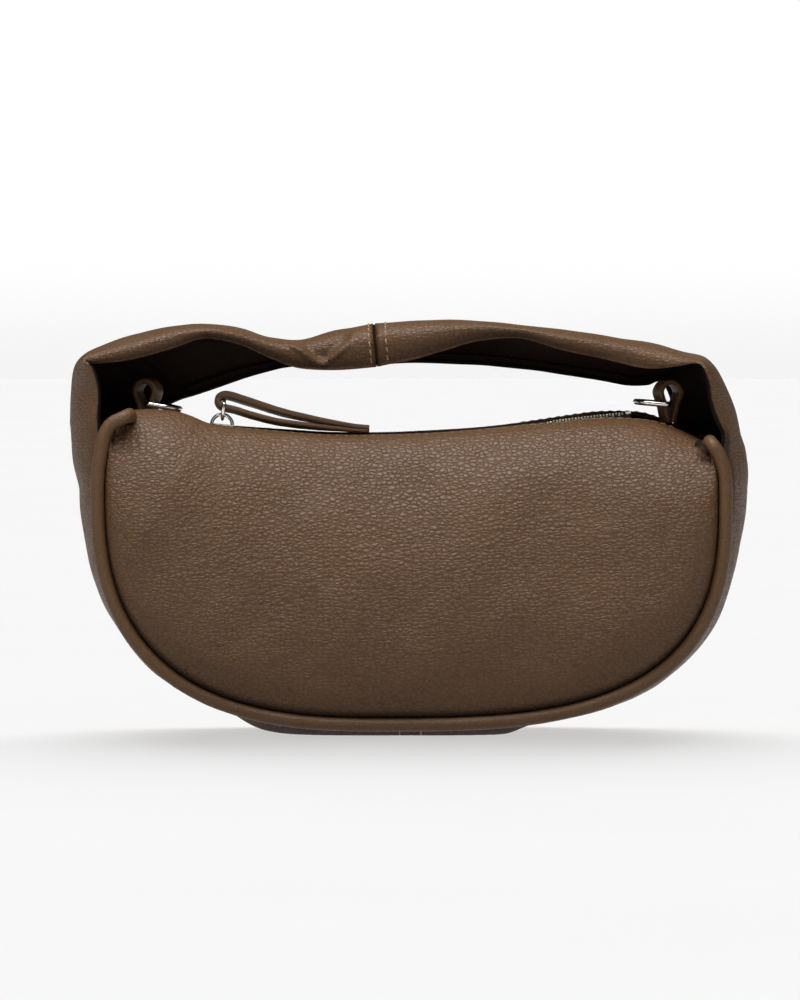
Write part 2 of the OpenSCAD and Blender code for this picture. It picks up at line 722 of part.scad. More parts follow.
// Slider: two plates joined by a post at the broad end, side walls that leave a slot for the
// tapes, and an arched bridge that the link goes round
channel_h = tooth_h + 2 * running_gap;
slider_h = channel_h + 2 * slider_plate_t;
tail_share = 0.84;
nose_round_share = 0.72;
post_r = 0.8;
bridge_r = bridge_h - link_wire_d / 2;
module slider_outline() {
    intersection() {
        polygon([
            [-slider_l / 2, -slider_w / 2],
            [slider_l / 2, -slider_w / 2 * tail_share],
            [slider_l / 2, slider_w / 2 * tail_share],
            [-slider_l / 2, slider_w / 2]
        ]);
        translate([-slider_l / 2 + slider_w * nose_round_share, 0])
            circle(r = slider_w * nose_round_share, $fn = fine);
    }
}
module slider_walls() {
    inner_y = tape_inner_y + tooth_jaw + running_gap;
    slot_h = tape_t + 2 * running_gap;
    difference() {
        linear_extrude(channel_h + slider_plate_t, center = true)
            intersection() {
                slider_outline();
                for (side = [-1, 1])
                    translate([0, side * (inner_y + slider_w / 4)])
                        square([slider_l, slider_w / 2], center = true);
            }
        cube([slider_l + overrun, slider_w + overrun, slot_h], center = true);
    }
}
module zip_slider() {
    color(nickel)
        on_zip(slider_x) {
            for (side = [-1, 1])
                translate([0, 0, side * (channel_h + slider_plate_t) / 2])
                    linear_extrude(slider_plate_t, center = true)
                        slider_outline();
            slider_walls();
            translate([-slider_l / 2 + slider_w / 5, 0, 0])
                cylinder(r = post_r, h = channel_h + slider_plate_t, center = true, $fn = fine);
            translate([0, 0, slider_h / 2 - slider_plate_t / 4])
                rotate([90, 0, 0])
                    rotate_extrude(angle = 180, $fn = fine)
                        translate([bridge_r, 0])
                            circle(d = link_wire_d, $fn = fine);
        }
}

// Link: a rounded rectangle of wire that stands on the bridge, square to the zip
bridge_z = slider_h / 2 - slider_plate_t / 4 + bridge_r;
link_low_z = bridge_z - link_wire_d - running_gap;
link_half_w = (puller_w + link_wire_d) / 2 + running_gap;
link_corner_share = 1.3;
link_corner_r = link_wire_d * link_corner_share;
module link_corner() {
    rotate([0, 90, 0])
        rotate_extrude(angle = 90, $fn = fine)
            translate([link_corner_r, 0])
                circle(d = link_wire_d, $fn = fine);
}
module wire_between(a, b) {
    d = b - a;
    translate(a)
        rotate([0, acos(d[2] / norm(d)), atan2(d[1], d[0])])
            cylinder(d = link_wire_d, h = norm(d), $fn = fine);
}
module pull_link() {
    y = link_half_w - link_corner_r;
    z = link_h / 2 - link_corner_r;
    color(nickel)
        on_zip(slider_x)
            translate([0, 0, link_low_z + link_h / 2]) {
                wire_between([0, -y, link_h / 2], [0, y, link_h / 2]);
                wire_between([0, -y, -link_h / 2], [0, y, -link_h / 2]);
                wire_between([0, -link_half_w, -z], [0, -link_half_w, z]);
                wire_between([0, link_half_w, -z], [0, link_half_w, z]);
                translate([0, y, -z]) link_corner();
                translate([0, -y, -z]) mirror([0, 1, 0]) link_corner();
                translate([0, y, z]) mirror([0, 0, 1]) link_corner();
                translate([0, -y, z]) mirror([0, 0, 1]) mirror([0, 1, 0]) link_corner();
            }
}

// Puller: a strip folded round the link's top wire, lying along the closed zip. Shares of its
// length, and of the height from the wire down to the teeth at its tip.
puller_top_shares = [
    [0.139, 0.38], [0.272, 0.16], [0.405, -0.12], [0.54, -0.26], [0.674, -0.37], [0.807, -0.46],
    [0.96, -0.58], [1, -0.68]
];
puller_under_shares = [
    [1, -0.93], [0.98, -0.97], [0.807, -1.09], [0.674, -1.12], [0.54, -1.12], [0.405, -1.00],
    [0.272, -0.73], [0.139, -0.52], [0.07, -0.53]
];
fold_gap_shares = [[0.01, 0.12], [0.185, -0.14], [0.01, -0.12]];
wire_z = link_low_z + link_h;
puller_drop = wire_z - tooth_h / 2 - running_gap - puller_l * puller_l / (2 * zip_arc_r);
eye_r = link_wire_d / 2 + running_gap;
fold_r = eye_r + strand_t;
function puller_points(shares) = [for (p = shares) [p[0] * puller_l, p[1] * puller_drop]];
fold_root_share = 0.9;
fold_root = fold_r * fold_root_share;
module leather_puller() {
    color(leather)
        on_zip(slider_x)
            translate([0, 0, wire_z])
                rotate([90, 0, 0])
                    difference() {
                        union() {
                            cylinder(r = fold_r, h = puller_w, center = true, $fn = fine);
                            linear_extrude(puller_w, center = true)
                                polygon(concat([[0, -fold_root], [0, fold_root]],
                                               puller_points(puller_top_shares),
                                               puller_points(puller_under_shares)));
                        }
                        cylinder(r = eye_r, h = puller_w + overrun, center = true, $fn = fine);
                        linear_extrude(puller_w + overrun, center = true)
                            polygon(puller_points(fold_gap_shares));
                    }
}

// Ring loops: a strip folded into a drop shape, its two ends standing on the leather end
arch_r = 3.05;
ring_wire_r = ring_wire_d / 2;
bar_seat_r = ring_wire_r + running_gap;
loop_drop = 4.4;
function loop_base_z(x) = tape_z(x) + tape_t / 2;
function arch_z(x) = loop_base_z(x) + loop_h - arch_r - loop_t;
function bar_z(x) = arch_z(x) - loop_drop;
hull_fine = 32;
module drop_shape(r_top, r_low) {
    hull() {
        circle(r = r_top, $fn = hull_fine);
        translate([0, -loop_drop]) circle(r = r_low, $fn = hull_fine);
    }
}
function root_y(x, side) = loop_base_z(x + side * loop_t) + seat_gap - arch_z(x);
module ring_loop(x) {
    color(leather)
        translate([x, 0, arch_z(x)])
            rotate([90, 0, 0])
                difference() {
                    linear_extrude(loop_w, center = true)
                        union() {
                            drop_shape(arch_r + loop_t, bar_seat_r + loop_t);
                            polygon([
                                [-loop_t, root_y(x, -1)],
                                [loop_t, root_y(x, 1)],
                                [loop_t, -loop_drop],
                                [-loop_t, -loop_drop]
                            ]);
                        }
                    linear_extrude(loop_w + overrun, center = true)
                        drop_shape(arch_r, ring_wire_r);
                    translate([0, -loop_drop, 0])
                        cylinder(r = bar_seat_r, h = loop_w + overrun, center = true, $fn = fine);
                }
}
module ring_loop_left() {
    ring_loop(-loop_x);
}
module ring_loop_right() {
    ring_loop(loop_x);
}

// Strap ring: a straight bar, two short arms and a half circle, lying away from its loop
module strap_ring(x, tilt, side) {
    bend_r = (ring_w - ring_wire_d) / 2;
    arm = ring_depth - ring_wire_d - bend_r;
    color(nickel)
        translate([x, 0, bar_z(x)])
            rotate([0, tilt, 0])
                mirror([side < 0 ? 1 : 0, 0, 0]) {
                    rotate([90, 0, 0])
                        cylinder(d = ring_wire_d, h = 2 * bend_r, center = true, $fn = fine);
                    for (y = [-bend_r, bend_r])
                        translate([0, y, 0]) {
                            sphere(d = ring_wire_d, $fn = fine);
                            rotate([0, 90, 0]) cylinder(d = ring_wire_d, h = arm, $fn = fine);
                        }
                    translate([arm, 0, 0])
                        rotate([0, 0, -90])
                            rotate_extrude(angle = 180, $fn = fine)
                                translate([bend_r, 0])
                                    circle(d = ring_wire_d, $fn = fine);
                }
}
module strap_ring_left() {
    strap_ring(-loop_x, left_ring_droop, 1);
}
module strap_ring_right() {
    strap_ring(loop_x, right_ring_rise, -1);
}

front_panel();
back_panel();
gusset_left();
gusset_right();
shoulder_left();
shoulder_right();
handle_left();
handle_right();
handle_facing_left();
handle_facing_right();
handle_joint_patch();
base_joint_patch();
piping_front();
piping_back();
filler_front();
filler_back();
lining_front();
lining_back();
lining_gusset();
zip_tape_front();
zip_tape_back();
zip_teeth_front();
zip_teeth_back();
zip_top_stops();
zip_bottom_stop();
zip_end_left();
zip_end_right();
zip_slider();
pull_link();
leather_puller();
ring_loop_left();
ring_loop_right();
strap_ring_left();
strap_ring_right();
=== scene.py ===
import bpy
import math
import numpy as np
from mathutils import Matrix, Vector, noise


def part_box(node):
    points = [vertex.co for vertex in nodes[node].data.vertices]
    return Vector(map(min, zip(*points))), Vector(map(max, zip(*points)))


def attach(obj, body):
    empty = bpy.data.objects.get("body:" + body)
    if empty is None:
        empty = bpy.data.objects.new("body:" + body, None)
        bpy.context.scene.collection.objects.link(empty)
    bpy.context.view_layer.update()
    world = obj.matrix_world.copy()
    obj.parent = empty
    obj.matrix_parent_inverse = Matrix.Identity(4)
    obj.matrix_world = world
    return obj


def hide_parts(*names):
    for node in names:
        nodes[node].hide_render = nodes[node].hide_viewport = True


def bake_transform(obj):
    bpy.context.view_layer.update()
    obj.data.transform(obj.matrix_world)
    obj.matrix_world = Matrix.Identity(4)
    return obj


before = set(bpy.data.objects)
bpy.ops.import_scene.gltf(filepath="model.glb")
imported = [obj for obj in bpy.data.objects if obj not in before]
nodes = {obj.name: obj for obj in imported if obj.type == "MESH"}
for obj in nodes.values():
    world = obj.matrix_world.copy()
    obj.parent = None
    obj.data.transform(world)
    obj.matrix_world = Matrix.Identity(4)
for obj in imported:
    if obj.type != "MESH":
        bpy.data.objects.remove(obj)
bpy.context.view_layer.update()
scene = bpy.context.scene
scene.view_settings.view_transform = "Standard"

# -------------------------------- camera
# The photo is 1000 pixels high, at 2.62 pixels to a millimetre: its frame's height in metres
FRAME_H = 1000 / 2.62 / 1000
TARGET = Vector((-0.00305, -0.030, 0.09084))
ELEVATION = math.radians(2)
DISTANCE = 2.6

lens = bpy.data.cameras.new("camera")
lens.sensor_fit = "VERTICAL"
lens.sensor_height = 36
lens.lens = 36 * DISTANCE / FRAME_H
lens.clip_end = 20
camera = bpy.data.objects.new("camera", lens)
scene.collection.objects.link(camera)
camera.location = TARGET + DISTANCE * Vector((0, -math.cos(ELEVATION), math.sin(ELEVATION)))
camera.rotation_euler = (math.pi / 2 - ELEVATION, 0, 0)
scene.camera = camera


def new_object(name, verts, faces, shaded=True):
    """A mesh whose points are given in millimetres."""
    mesh = bpy.data.meshes.new(name)
    mesh.from_pydata([tuple(v) for v in np.asarray(verts) / 1000], [], [tuple(map(int, f)) for f in faces])
    mesh.update()
    mesh.polygons.foreach_set("use_smooth", [shaded] * len(mesh.polygons))
    obj = bpy.data.objects.new(name, mesh)
    scene.collection.objects.link(obj)
    return obj


# -------------------------------- materials
class Graph:
    """A material's node tree, built by short calls."""

    def __init__(self, name):
        self.material = bpy.data.materials.new(name)
        self.material.use_nodes = True
        self.tree = self.material.node_tree
        self.shader = self.tree.nodes["Principled BSDF"]

    def add(self, kind, values=None, **settings):
        node = self.tree.nodes.new(kind)
        for key, value in settings.items():
            setattr(node, key, value)
        for key, value in (values or {}).items():
            self.put(node.inputs[key], value)
        return node

    def put(self, socket, value):
        if isinstance(value, bpy.types.NodeSocket):
            self.tree.links.new(value, socket)
        elif isinstance(value, (tuple, list)) and len(value) == 3 and len(socket.default_value) == 4:
            socket.default_value = (*value, 1)
        else:
            socket.default_value = value

    def math(self, operation, a, b=0.0, clamp=False):
        return self.add("ShaderNodeMath", {0: a, 1: b}, operation=operation, use_clamp=clamp).outputs[0]

    def plus(self, a, b, clamp=False):
        return self.math("ADD", a, b, clamp)

    def times(self, a, b):
        return self.math("MULTIPLY", a, b)

    def remap(self, value, low, high, to_low=0.0, to_high=1.0):
        return self.add("ShaderNodeMapRange", {"Value": value, "From Min": low, "From Max": high,
                                               "To Min": to_low, "To Max": to_high},
                        interpolation_type="SMOOTHSTEP").outputs["Result"]

    def mix(self, factor, a, b, blend="MIX"):
        node = self.add("ShaderNodeMix", data_type="RGBA", blend_type=blend)
        for index, value in ((0, factor), (6, a), (7, b)):
            self.put(node.inputs[index], value)
        return node.outputs[2]

    def noise(self, where, per_m, detail=3.0, roughness=0.5, output=0):
        return self.add("ShaderNodeTexNoise", {"Vector": where, "Scale": per_m, "Detail": detail,
                                               "Roughness": roughness}).outputs[output]

    def position(self):
        return self.add("ShaderNodeTexCoord").outputs["Object"]

    def split(self, vector):
        return self.add("ShaderNodeSeparateXYZ", {0: vector}).outputs

    def cells(self, where, per_m, randomness, feature="DISTANCE_TO_EDGE"):
        return self.add("ShaderNodeTexVoronoi", {"Vector": where, "Scale": per_m, "Randomness": randomness},
                        feature=feature).outputs["Distance"]

    def bump(self, strength, distance, height, **under):
        return self.add("ShaderNodeBump", {"Strength": strength, "Distance": distance, "Height": height,
                                           **under}).outputs[0]

    def surface(self, **inputs):
        for key, value in inputs.items():
            self.put(self.shader.inputs[key.replace("_", " ")], value)


def brighter(colour, factor):
    return tuple(min(1.0, c * factor) for c in colour)


def leather(name, base, valley, grain_mm=1.8, depth=0.75, rough=0.44, worn=0.08, shine=0.4, lines=0.5,
            under=0.0):
    """Pebbled leather: flattened rounded grains with darker valleys, pores, soft blotches and a worn
    shine. Painted shade darkens it in seam grooves and under the bag, and by under on the handle's roll."""
    g = Graph(name)
    place = g.position()
    bent = g.add("ShaderNodeMix", data_type="VECTOR")
    for index, value in ((0, 0.0016), (4, place), (5, g.noise(place, 260.0, 2.0, output="Color"))):
        g.put(bent.inputs[index], value)
    where = g.add("ShaderNodeVectorMath", {0: bent.outputs[1], 1: (0.8, 1.0, 1.3)},
                  operation="MULTIPLY").outputs[0]
    edges = g.cells(where, 1000 / grain_mm, 0.85)
    domes = g.cells(where, 1000 / grain_mm, 0.85, "F1")
    fine = g.remap(g.cells(where, 2600 / grain_mm, 1.0), 0.0, 0.2)
    grain = g.plus(g.remap(edges, 0.0, 0.16, 0.0, 0.45), g.remap(domes, 0.0, 0.75, 0.55, 0.0))
    line = g.remap(edges, 0.0, 0.11)
    pores = g.noise(place, 5200.0, 2.0)
    broad = g.noise(place, 26.0)
    patch = g.noise(place, 95.0)
    height = g.plus(g.times(grain, 0.9), g.times(fine, 0.07))
    height = g.plus(height, g.times(pores, 0.05))
    height = g.times(height, g.remap(patch, 0.25, 0.75, 0.75, 1.0))
    waves = g.bump(0.35, 0.0012, patch, Normal=g.bump(depth, 0.0005, height))

    colour = g.mix(g.remap(line, 0.0, 1.0, lines, 0.0), base, valley)
    colour = g.mix(g.remap(broad, 0.35, 0.65, 0.0, 0.4), colour, brighter(base, 1 + BLOTCHES))
    colour = g.mix(g.remap(patch, 0.45, 0.8, 0.0, 0.3), colour, brighter(base, 1 - BLOTCHES))
    ridges = g.add("ShaderNodeNewGeometry").outputs["Pointiness"]
    colour = g.mix(g.remap(ridges, 0.53, 0.64, 0.0, worn * 2), colour, brighter(base, 1.6))
    # Painted shade: the seam attribute marks grooves beside the piping and the bag's underside
    seam = g.add("ShaderNodeAttribute", attribute_name="seam").outputs["Fac"]
    painted_shade_amount = g.times(seam, 0.82)
    # Painted shade, as much as under, on downward faces high up on the handle
    if under:
        normal = g.add("ShaderNodeNewGeometry").outputs["Normal"]
        down = g.remap(g.split(normal)[2], -0.95, -0.35, 1.0, 0.0)
        high = g.remap(g.split(place)[2], 0.124, 0.136)
        painted_shade_amount = g.math("MAXIMUM", painted_shade_amount, g.times(g.times(down, high), under))
    # The painted shade darkens the colour towards a deep valley brown and roughens the leather
    colour = g.mix(painted_shade_amount, colour, brighter(valley, 0.25))

    gloss = g.plus(g.remap(grain, 0.0, 1.0, rough + 0.15, rough - 0.09), g.times(broad, 0.06))
    gloss = g.plus(gloss, g.times(painted_shade_amount, 0.5), clamp=True)
    g.surface(Base_Color=colour, Roughness=gloss, Normal=waves, Specular_IOR_Level=shine)
    return g.material


def metal(name, tint, rough):
    """Polished nickel with faint rubbing marks and a little tarnish."""
    g = Graph(name)
    place = g.position()
    marks = g.noise(place, 2600.0, 4.0, 0.65)
    haze = g.noise(place, 260.0, 2.0)
    g.surface(Base_Color=g.mix(g.remap(haze, 0.35, 0.75, 0.0, 0.5), tint, brighter(tint, 0.72)),
              Roughness=g.remap(marks, 0.3, 0.75, rough * 0.6, rough * 1.9),
              Normal=g.bump(0.08, 0.00008, marks), Metallic=1.0)
    return g.material


def weave(name, base, dark, thread_mm, slant=False):
    """Cloth of crossing threads, straight for the lining and slanting for the zip's tape."""
    g = Graph(name)
    place = g.position()
    wobble = g.noise(place, 700.0, 2.0)
    x, y, z = g.split(place)
    across = g.plus(y, g.times(z, 0.8))
    along = x
    if slant:
        along = g.plus(x, g.math("PINGPONG", g.plus(across, 0.5), TAPE_RIB))
    turn = 2 * math.pi * 1000 / thread_mm
    warp = g.math("SINE", g.plus(g.times(along, turn), wobble))
    weft = g.math("SINE", g.plus(g.times(across, turn), wobble))
    height = g.plus(g.times(g.times(warp, weft), 0.5), 0.5)
    g.surface(Base_Color=g.mix(g.remap(height, 0.1, 0.9), dark, base), Normal=g.bump(0.7, 0.0002, height),
              Roughness=g.remap(wobble, 0.2, 0.8, 0.82, 0.95), Specular_IOR_Level=0.15)
    return g.material


def thread(name, base, dark, twist_mm=0.45):
    """Twisted sewing thread."""
    g = Graph(name)
    place = g.position()
    x, y, z = g.split(place)
    along = g.plus(g.plus(x, y), z)
    ply = g.math("SINE", g.times(along, 2 * math.pi * 1000 / twist_mm))
    fuzz = g.noise(place, 4200.0)
    height = g.plus(g.remap(ply, -1.0, 1.0), g.times(fuzz, 0.5))
    g.surface(Base_Color=g.mix(g.remap(height, 0.2, 1.2), dark, base), Normal=g.bump(0.8, 0.00012, height),
              Roughness=g.remap(fuzz, 0.2, 0.8, 0.6, 0.8))
    return g.material


def paper(name, tone):
    """The matt, faintly mottled white of the floor."""
    g = Graph(name)
    mottle = g.noise(g.position(), 5.0)
    g.surface(Base_Color=g.mix(g.remap(mottle, 0.3, 0.7), (tone,) * 3, (tone * 0.99,) * 3), Roughness=0.95,
              Specular_IOR_Level=0.1)
    return g.material


def glow(name, low, high, rise):
    """The studio wall's own glowing white, dimmed as painted shade where it meets the floor."""
    g = Graph(name)
    height = g.split(g.position())[2]
    g.surface(Base_Color=(0, 0, 0), Roughness=1.0, Emission_Color=(1, 1, 1),
              Emission_Strength=g.remap(height, 0.0, rise, low, high))
    return g.material


# How much lighter and darker the leather's blotches are, and the width of the tape's ribs in metres
BLOTCHES, TAPE_RIB = 0.06, 0.0016
body_leather = leather("body_leather", (0.089, 0.041, 0.013), (0.028, 0.011, 0.003))
# Its under value paints shade on the handle's downward faces
strip_leather = leather("strip_leather", (0.085, 0.039, 0.0125), (0.026, 0.010, 0.003), grain_mm=1.7,
                        depth=0.65, lines=0.4, under=0.86)
piping_leather = leather("piping_leather", (0.092, 0.043, 0.0135), (0.048, 0.020, 0.006), grain_mm=1.3,
                         depth=0.35, rough=0.42, worn=0.2)
strap_leather = leather("strap_leather", (0.098, 0.047, 0.018), (0.050, 0.022, 0.008), grain_mm=1.1,
                        depth=0.3, rough=0.42, worn=0.25)
# Nearly black: a dark facing leather, darkened further as painted shade inside the straps and handle
inner_leather = leather("inner_leather", (0.011, 0.005, 0.003), (0.006, 0.003, 0.002), grain_mm=0.9,
                        depth=0.25, rough=0.62, shine=0.12)
lining_cloth = weave("lining_cloth", (0.060, 0.038, 0.026), (0.027, 0.016, 0.010), 0.5)
tape_cloth = weave("tape_cloth", (0.036, 0.022, 0.014), (0.014, 0.008, 0.005), 0.45, slant=True)
tan_thread = thread("tan_thread", (0.43, 0.29, 0.165), (0.20, 0.12, 0.06))
nickel = metal("nickel", (0.80, 0.79, 0.77), 0.13)
bright_nickel = metal("bright_nickel", (0.86, 0.85, 0.83), 0.09)
tooth_nickel = metal("tooth_nickel", (0.50, 0.46, 0.41), 0.3)


# -------------------------------- the bag's forms, in millimetres
BODY_W, BODY_D, WIDEST_Z, CORD_LOW_Z = 239.6, 68.0, 95.0, 5.2
LEFT_CORNER_Z, RIGHT_CORNER_Z, CORNER_LEAN = 118.5, 111.5, 5.0
DOME, SWELL, FOOT_L = 15.8, 8.6, 84.0
SHIFT = 1.4
# How square the outline's lower corners are, and how its upper corners lean in
ROUND_LEFT, ROUND_RIGHT, LEAN_POWER = 2.65, 3.0, 2.4
LEFT_X, RIGHT_X = SHIFT - BODY_W / 2, SHIFT + BODY_W / 2
LOW_X = LEFT_X + BODY_W * 0.453
HALF_D = BODY_D / 2
PIPING_R = 2.65
SEAT_R = PIPING_R + 0.2
STRIP_T, PANEL_T, CLOTH_T = 1.6, 1.5, 0.6
TURN_LEFT, TURN_RIGHT = 0.06, 0.955
ARC_R, ZIP_X, ZIP_Z = 555.0, -15.5, 113.7
HANDLE_TOP = 160.0


def lerp(a, b, t):
    return a + (b - a) * t


def smooth(t):
    t = np.clip(t, 0, 1)
    return t * t * (3 - 2 * t)


def curve(t, rows):
    """A smooth curve through a table of (place, value, value ...) rows."""
    rows = np.asarray(rows, float)
    i = int(np.clip(np.searchsorted(rows[:, 0], t, side="right") - 1, 0, len(rows) - 2))

    def slope(k):
        a, b = rows[max(k - 1, 0)], rows[min(k + 1, len(rows) - 1)]
        return (b - a) / max(b[0] - a[0], 1e-9)

    a, b = rows[i], rows[i + 1]
    span = b[0] - a[0]
    u = min(max((t - a[0]) / span, 0), 1)
    ma, mb = slope(i) * span, slope(i + 1) * span
    return (a * (2 * u ** 3 - 3 * u * u + 1) + ma * (u ** 3 - 2 * u * u + u)
            + b * (3 * u * u - 2 * u ** 3) + mb * (u ** 3 - u * u))


left_corner = [(0.4, -117.85, 104.4), (0.5, -117.45, 106.75), (0.62, -116.9, 110.4), (0.74, -116.1, 114.2),
               (0.85, -114.7, 117.9), (0.93, -112.6, 120.4), (1.0, -109.4, 121.9)]
right_corner = [(0.4, 120.65, 101.6), (0.5, 120.25, 103.25), (0.65, 119.3, 106.3), (0.8, 117.6, 109.8),
                (0.92, 114.8, 113.0), (1.0, 111.4, 114.9)]


def outline(u):
    """The piping's line as seen from the front, from the upper left end over the bottom."""
    if u < TURN_LEFT:
        t = 1 - u / TURN_LEFT
        if t > 0.5:
            return curve(t, left_corner)[1:]
        return np.array([LEFT_X + CORNER_LEAN * t ** LEAN_POWER, lerp(WIDEST_Z, LEFT_CORNER_Z, t)])
    if u > TURN_RIGHT:
        t = (u - TURN_RIGHT) / (1 - TURN_RIGHT)
        if t > 0.5:
            return curve(t, right_corner)[1:]
        return np.array([RIGHT_X - CORNER_LEAN * t ** LEAN_POWER, lerp(WIDEST_Z, RIGHT_CORNER_Z, t)])
    angle = math.radians(lerp(180, 360, (u - TURN_LEFT) / (TURN_RIGHT - TURN_LEFT)))
    left = angle < 1.5 * math.pi
    reach = LOW_X - LEFT_X if left else RIGHT_X - LOW_X
    power = ROUND_LEFT if left else ROUND_RIGHT
    c, s = abs(math.cos(angle)) / reach, abs(math.sin(angle)) / (WIDEST_Z - CORD_LOW_Z)
    r = (c ** power + s ** power) ** (-1 / power)
    return np.array([LOW_X + r * math.cos(angle), WIDEST_Z + r * math.sin(angle)])


def outward(u):
    d = outline(min(u + 0.004, 1)) - outline(max(u - 0.004, 0))
    d /= np.linalg.norm(d)
    return np.array([d[1], -d[0]])


def outline_out(u, distance):
    return outline(u) + outward(u) * distance


def arc_z(x):
    return ZIP_Z + ARC_R - math.sqrt(ARC_R ** 2 - (x - ZIP_X) ** 2)


def unit(v):
    return v / max(np.linalg.norm(v), 1e-9)


def travel(points):
    """How far along its line each point lies."""
    return np.concatenate([[0], np.cumsum(np.linalg.norm(np.diff(points, axis=0), axis=1))])


def grid_faces(rows, columns, start=0, flip=False):
    corners = [start + i * rows + j for i in range(columns - 1) for j in range(rows - 1)]
    faces = [(a, a + 1, a + rows + 1, a + rows) for a in corners]
    return [f[::-1] for f in faces] if flip else faces


def grid_normals(grid):
    du = np.gradient(grid, axis=0)
    dv = np.gradient(grid, axis=1)
    n = np.cross(du, dv)
    return n / np.maximum(np.linalg.norm(n, axis=2, keepdims=True), 1e-9)


RIM_BULGE = 0.42


def shell(name, grid, thick):
    """A sheet of leather or cloth: the grid is its outer face, the inner face lies thick behind it, and
    the rim between them is rounded. The grid's normals point inwards."""
    grid = np.asarray(grid, float)
    columns, rows = grid.shape[:2]
    count = columns * rows
    n = grid_normals(grid)
    thick = np.broadcast_to(thick, (columns, rows))[..., None]
    rim = [(i, 0) for i in range(columns)] + [(columns - 1, j) for j in range(1, rows)]
    rim += [(i, rows - 1) for i in range(columns - 2, -1, -1)] + [(0, j) for j in range(rows - 2, 0, -1)]
    middle = []
    for i, j in rim:
        d = unit(grid[i, j] - grid[min(max(i, 1), columns - 2), min(max(j, 1), rows - 2)])
        middle.append(grid[i, j] + n[i, j] * thick[i, j] / 2 + d * thick[i, j] * RIM_BULGE)
    verts = np.concatenate([grid.reshape(-1, 3), (grid + n * thick).reshape(-1, 3), np.array(middle)])
    faces = grid_faces(rows, columns, 0, True) + grid_faces(rows, columns, count)
    for k, (i, j) in enumerate(rim):
        after = rim[(k + 1) % len(rim)]
        a, b = i * rows + j, after[0] * rows + after[1]
        p, q = 2 * count + k, 2 * count + (k + 1) % len(rim)
        faces += [(a, b, q, p), (p, q, count + b, count + a)]
    return new_object(name, verts, faces)


def mark_painted_shade(obj, values):
    """Marks how much painted shade each point of a shell gets, for its leather to be darker there."""
    spare = len(obj.data.vertices) - 2 * values.size
    layer = obj.data.attributes.new("seam", "FLOAT", "POINT")
    rim = np.full(spare, values.max())
    layer.data.foreach_set("value", np.concatenate([values.ravel(), values.ravel(), rim]))


def wall_faces(loops, sides, start=0, closed=False):
    """Quads between the following loops of a tube, each of so many points."""
    faces = []
    for i in range(loops if closed else loops - 1):
        for k in range(sides):
            a, b = start + i * sides, start + ((i + 1) % loops) * sides
            faces.append((a + k, a + (k + 1) % sides, b + (k + 1) % sides, b + k))
    return faces


def caps(loops, sides, start=0):
    """The two end faces of such a tube."""
    last = start + (loops - 1) * sides
    return [tuple(start + k for k in range(sides))[::-1], tuple(last + k for k in range(sides))]


def tube(name, path, radius, sides, closed=False, frames=None):
    """A round bar along a path; radius is a number or one per point."""
    path = np.asarray(path, float)
    count = len(path)
    radius = np.broadcast_to(radius, (count,))
    tangent = np.roll(path, -1, 0) - np.roll(path, 1, 0)
    if not closed:
        tangent[0], tangent[-1] = path[1] - path[0], path[-1] - path[-2]
    tangent /= np.linalg.norm(tangent, axis=1, keepdims=True)
    verts = []
    side = np.cross(tangent[0], [0.3, 0.5, 0.81])
    for i in range(count):
        side = frames[i] if frames is not None else side
        side = unit(side - tangent[i] * np.dot(side, tangent[i]))
        up = np.cross(tangent[i], side)
        for k in range(sides):
            a = 2 * math.pi * k / sides
            verts.append(path[i] + radius[i] * (math.cos(a) * side + math.sin(a) * up))
    faces = wall_faces(count, sides, 0, closed) + ([] if closed else caps(count, sides))
    return new_object(name, verts, faces)


def paint(obj, *materials):
    for material in materials:
        obj.data.materials.append(material)


def place(obj, material, body, slot, *replaced):
    paint(obj, material)
    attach(obj, body)
    if replaced:
        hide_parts(*replaced)


def declare_cloth(obj, grid, *behind):
    """A sewn-in lining piece: its grid is turned into metres, and nothing more is done with it."""
    grid = np.asarray(grid) / 1000


def ripple(x, y, z, size, seed=0.0):
    return noise.noise(Vector((x / size + seed, y / size - seed, z / size + 2 * seed)))


def stitches(name, points, normals, pitch, width, gap=0.28, slant=0.0):
    """A row of stitches on a surface: the points and their outward normals run along the seam. A gap is
    the share of the pitch between two stitches, whose ends sink into the leather."""
    points, normals = np.asarray(points, float), np.asarray(normals, float)
    run = travel(points)
    count = max(int(round(run[-1] / pitch)), 1)
    pitch = run[-1] / count
    rings, sides, sink = 7, 8, 0.12
    verts, faces = [], []

    def at(s, table):
        return np.array([np.interp(s, run, table[:, k]) for k in range(3)])

    for i in range(count):
        base = len(verts)
        for r in range(rings):
            t = r / (rings - 1)
            s = lerp((i + gap / 2) * pitch, (i + 1 - gap / 2) * pitch, t)
            n = unit(at(s, normals))
            side = np.cross(n, unit(at(min(s + 0.05, run[-1]), points) - at(max(s - 0.05, 0), points)))
            fat = math.sin(math.pi * (0.08 + 0.84 * t)) ** 0.45
            arch = math.sin(math.pi * t)
            lift = width * (0.42 * arch ** 0.6 - sink - 0.25 * (1 - arch))
            p = at(s, points) + n * lift + side * slant * (t - 0.5)
            for k in range(sides):
                a = 2 * math.pi * k / sides
                verts.append(p + width / 2 * fat * (math.cos(a) * side + 0.8 * math.sin(a) * n))
        faces += wall_faces(rings, sides, base) + caps(rings, sides, base)
    return new_object(name, verts, faces)


# -------------------------------- panels
SLOT, SHELF_Y = 5.6, 15.1
EDGE_Y = HALF_D - 1.1
SHELF_LEFT, SHELF_RIGHT = LEFT_X + CORNER_LEAN + SEAT_R, RIGHT_X - CORNER_LEAN - SEAT_R
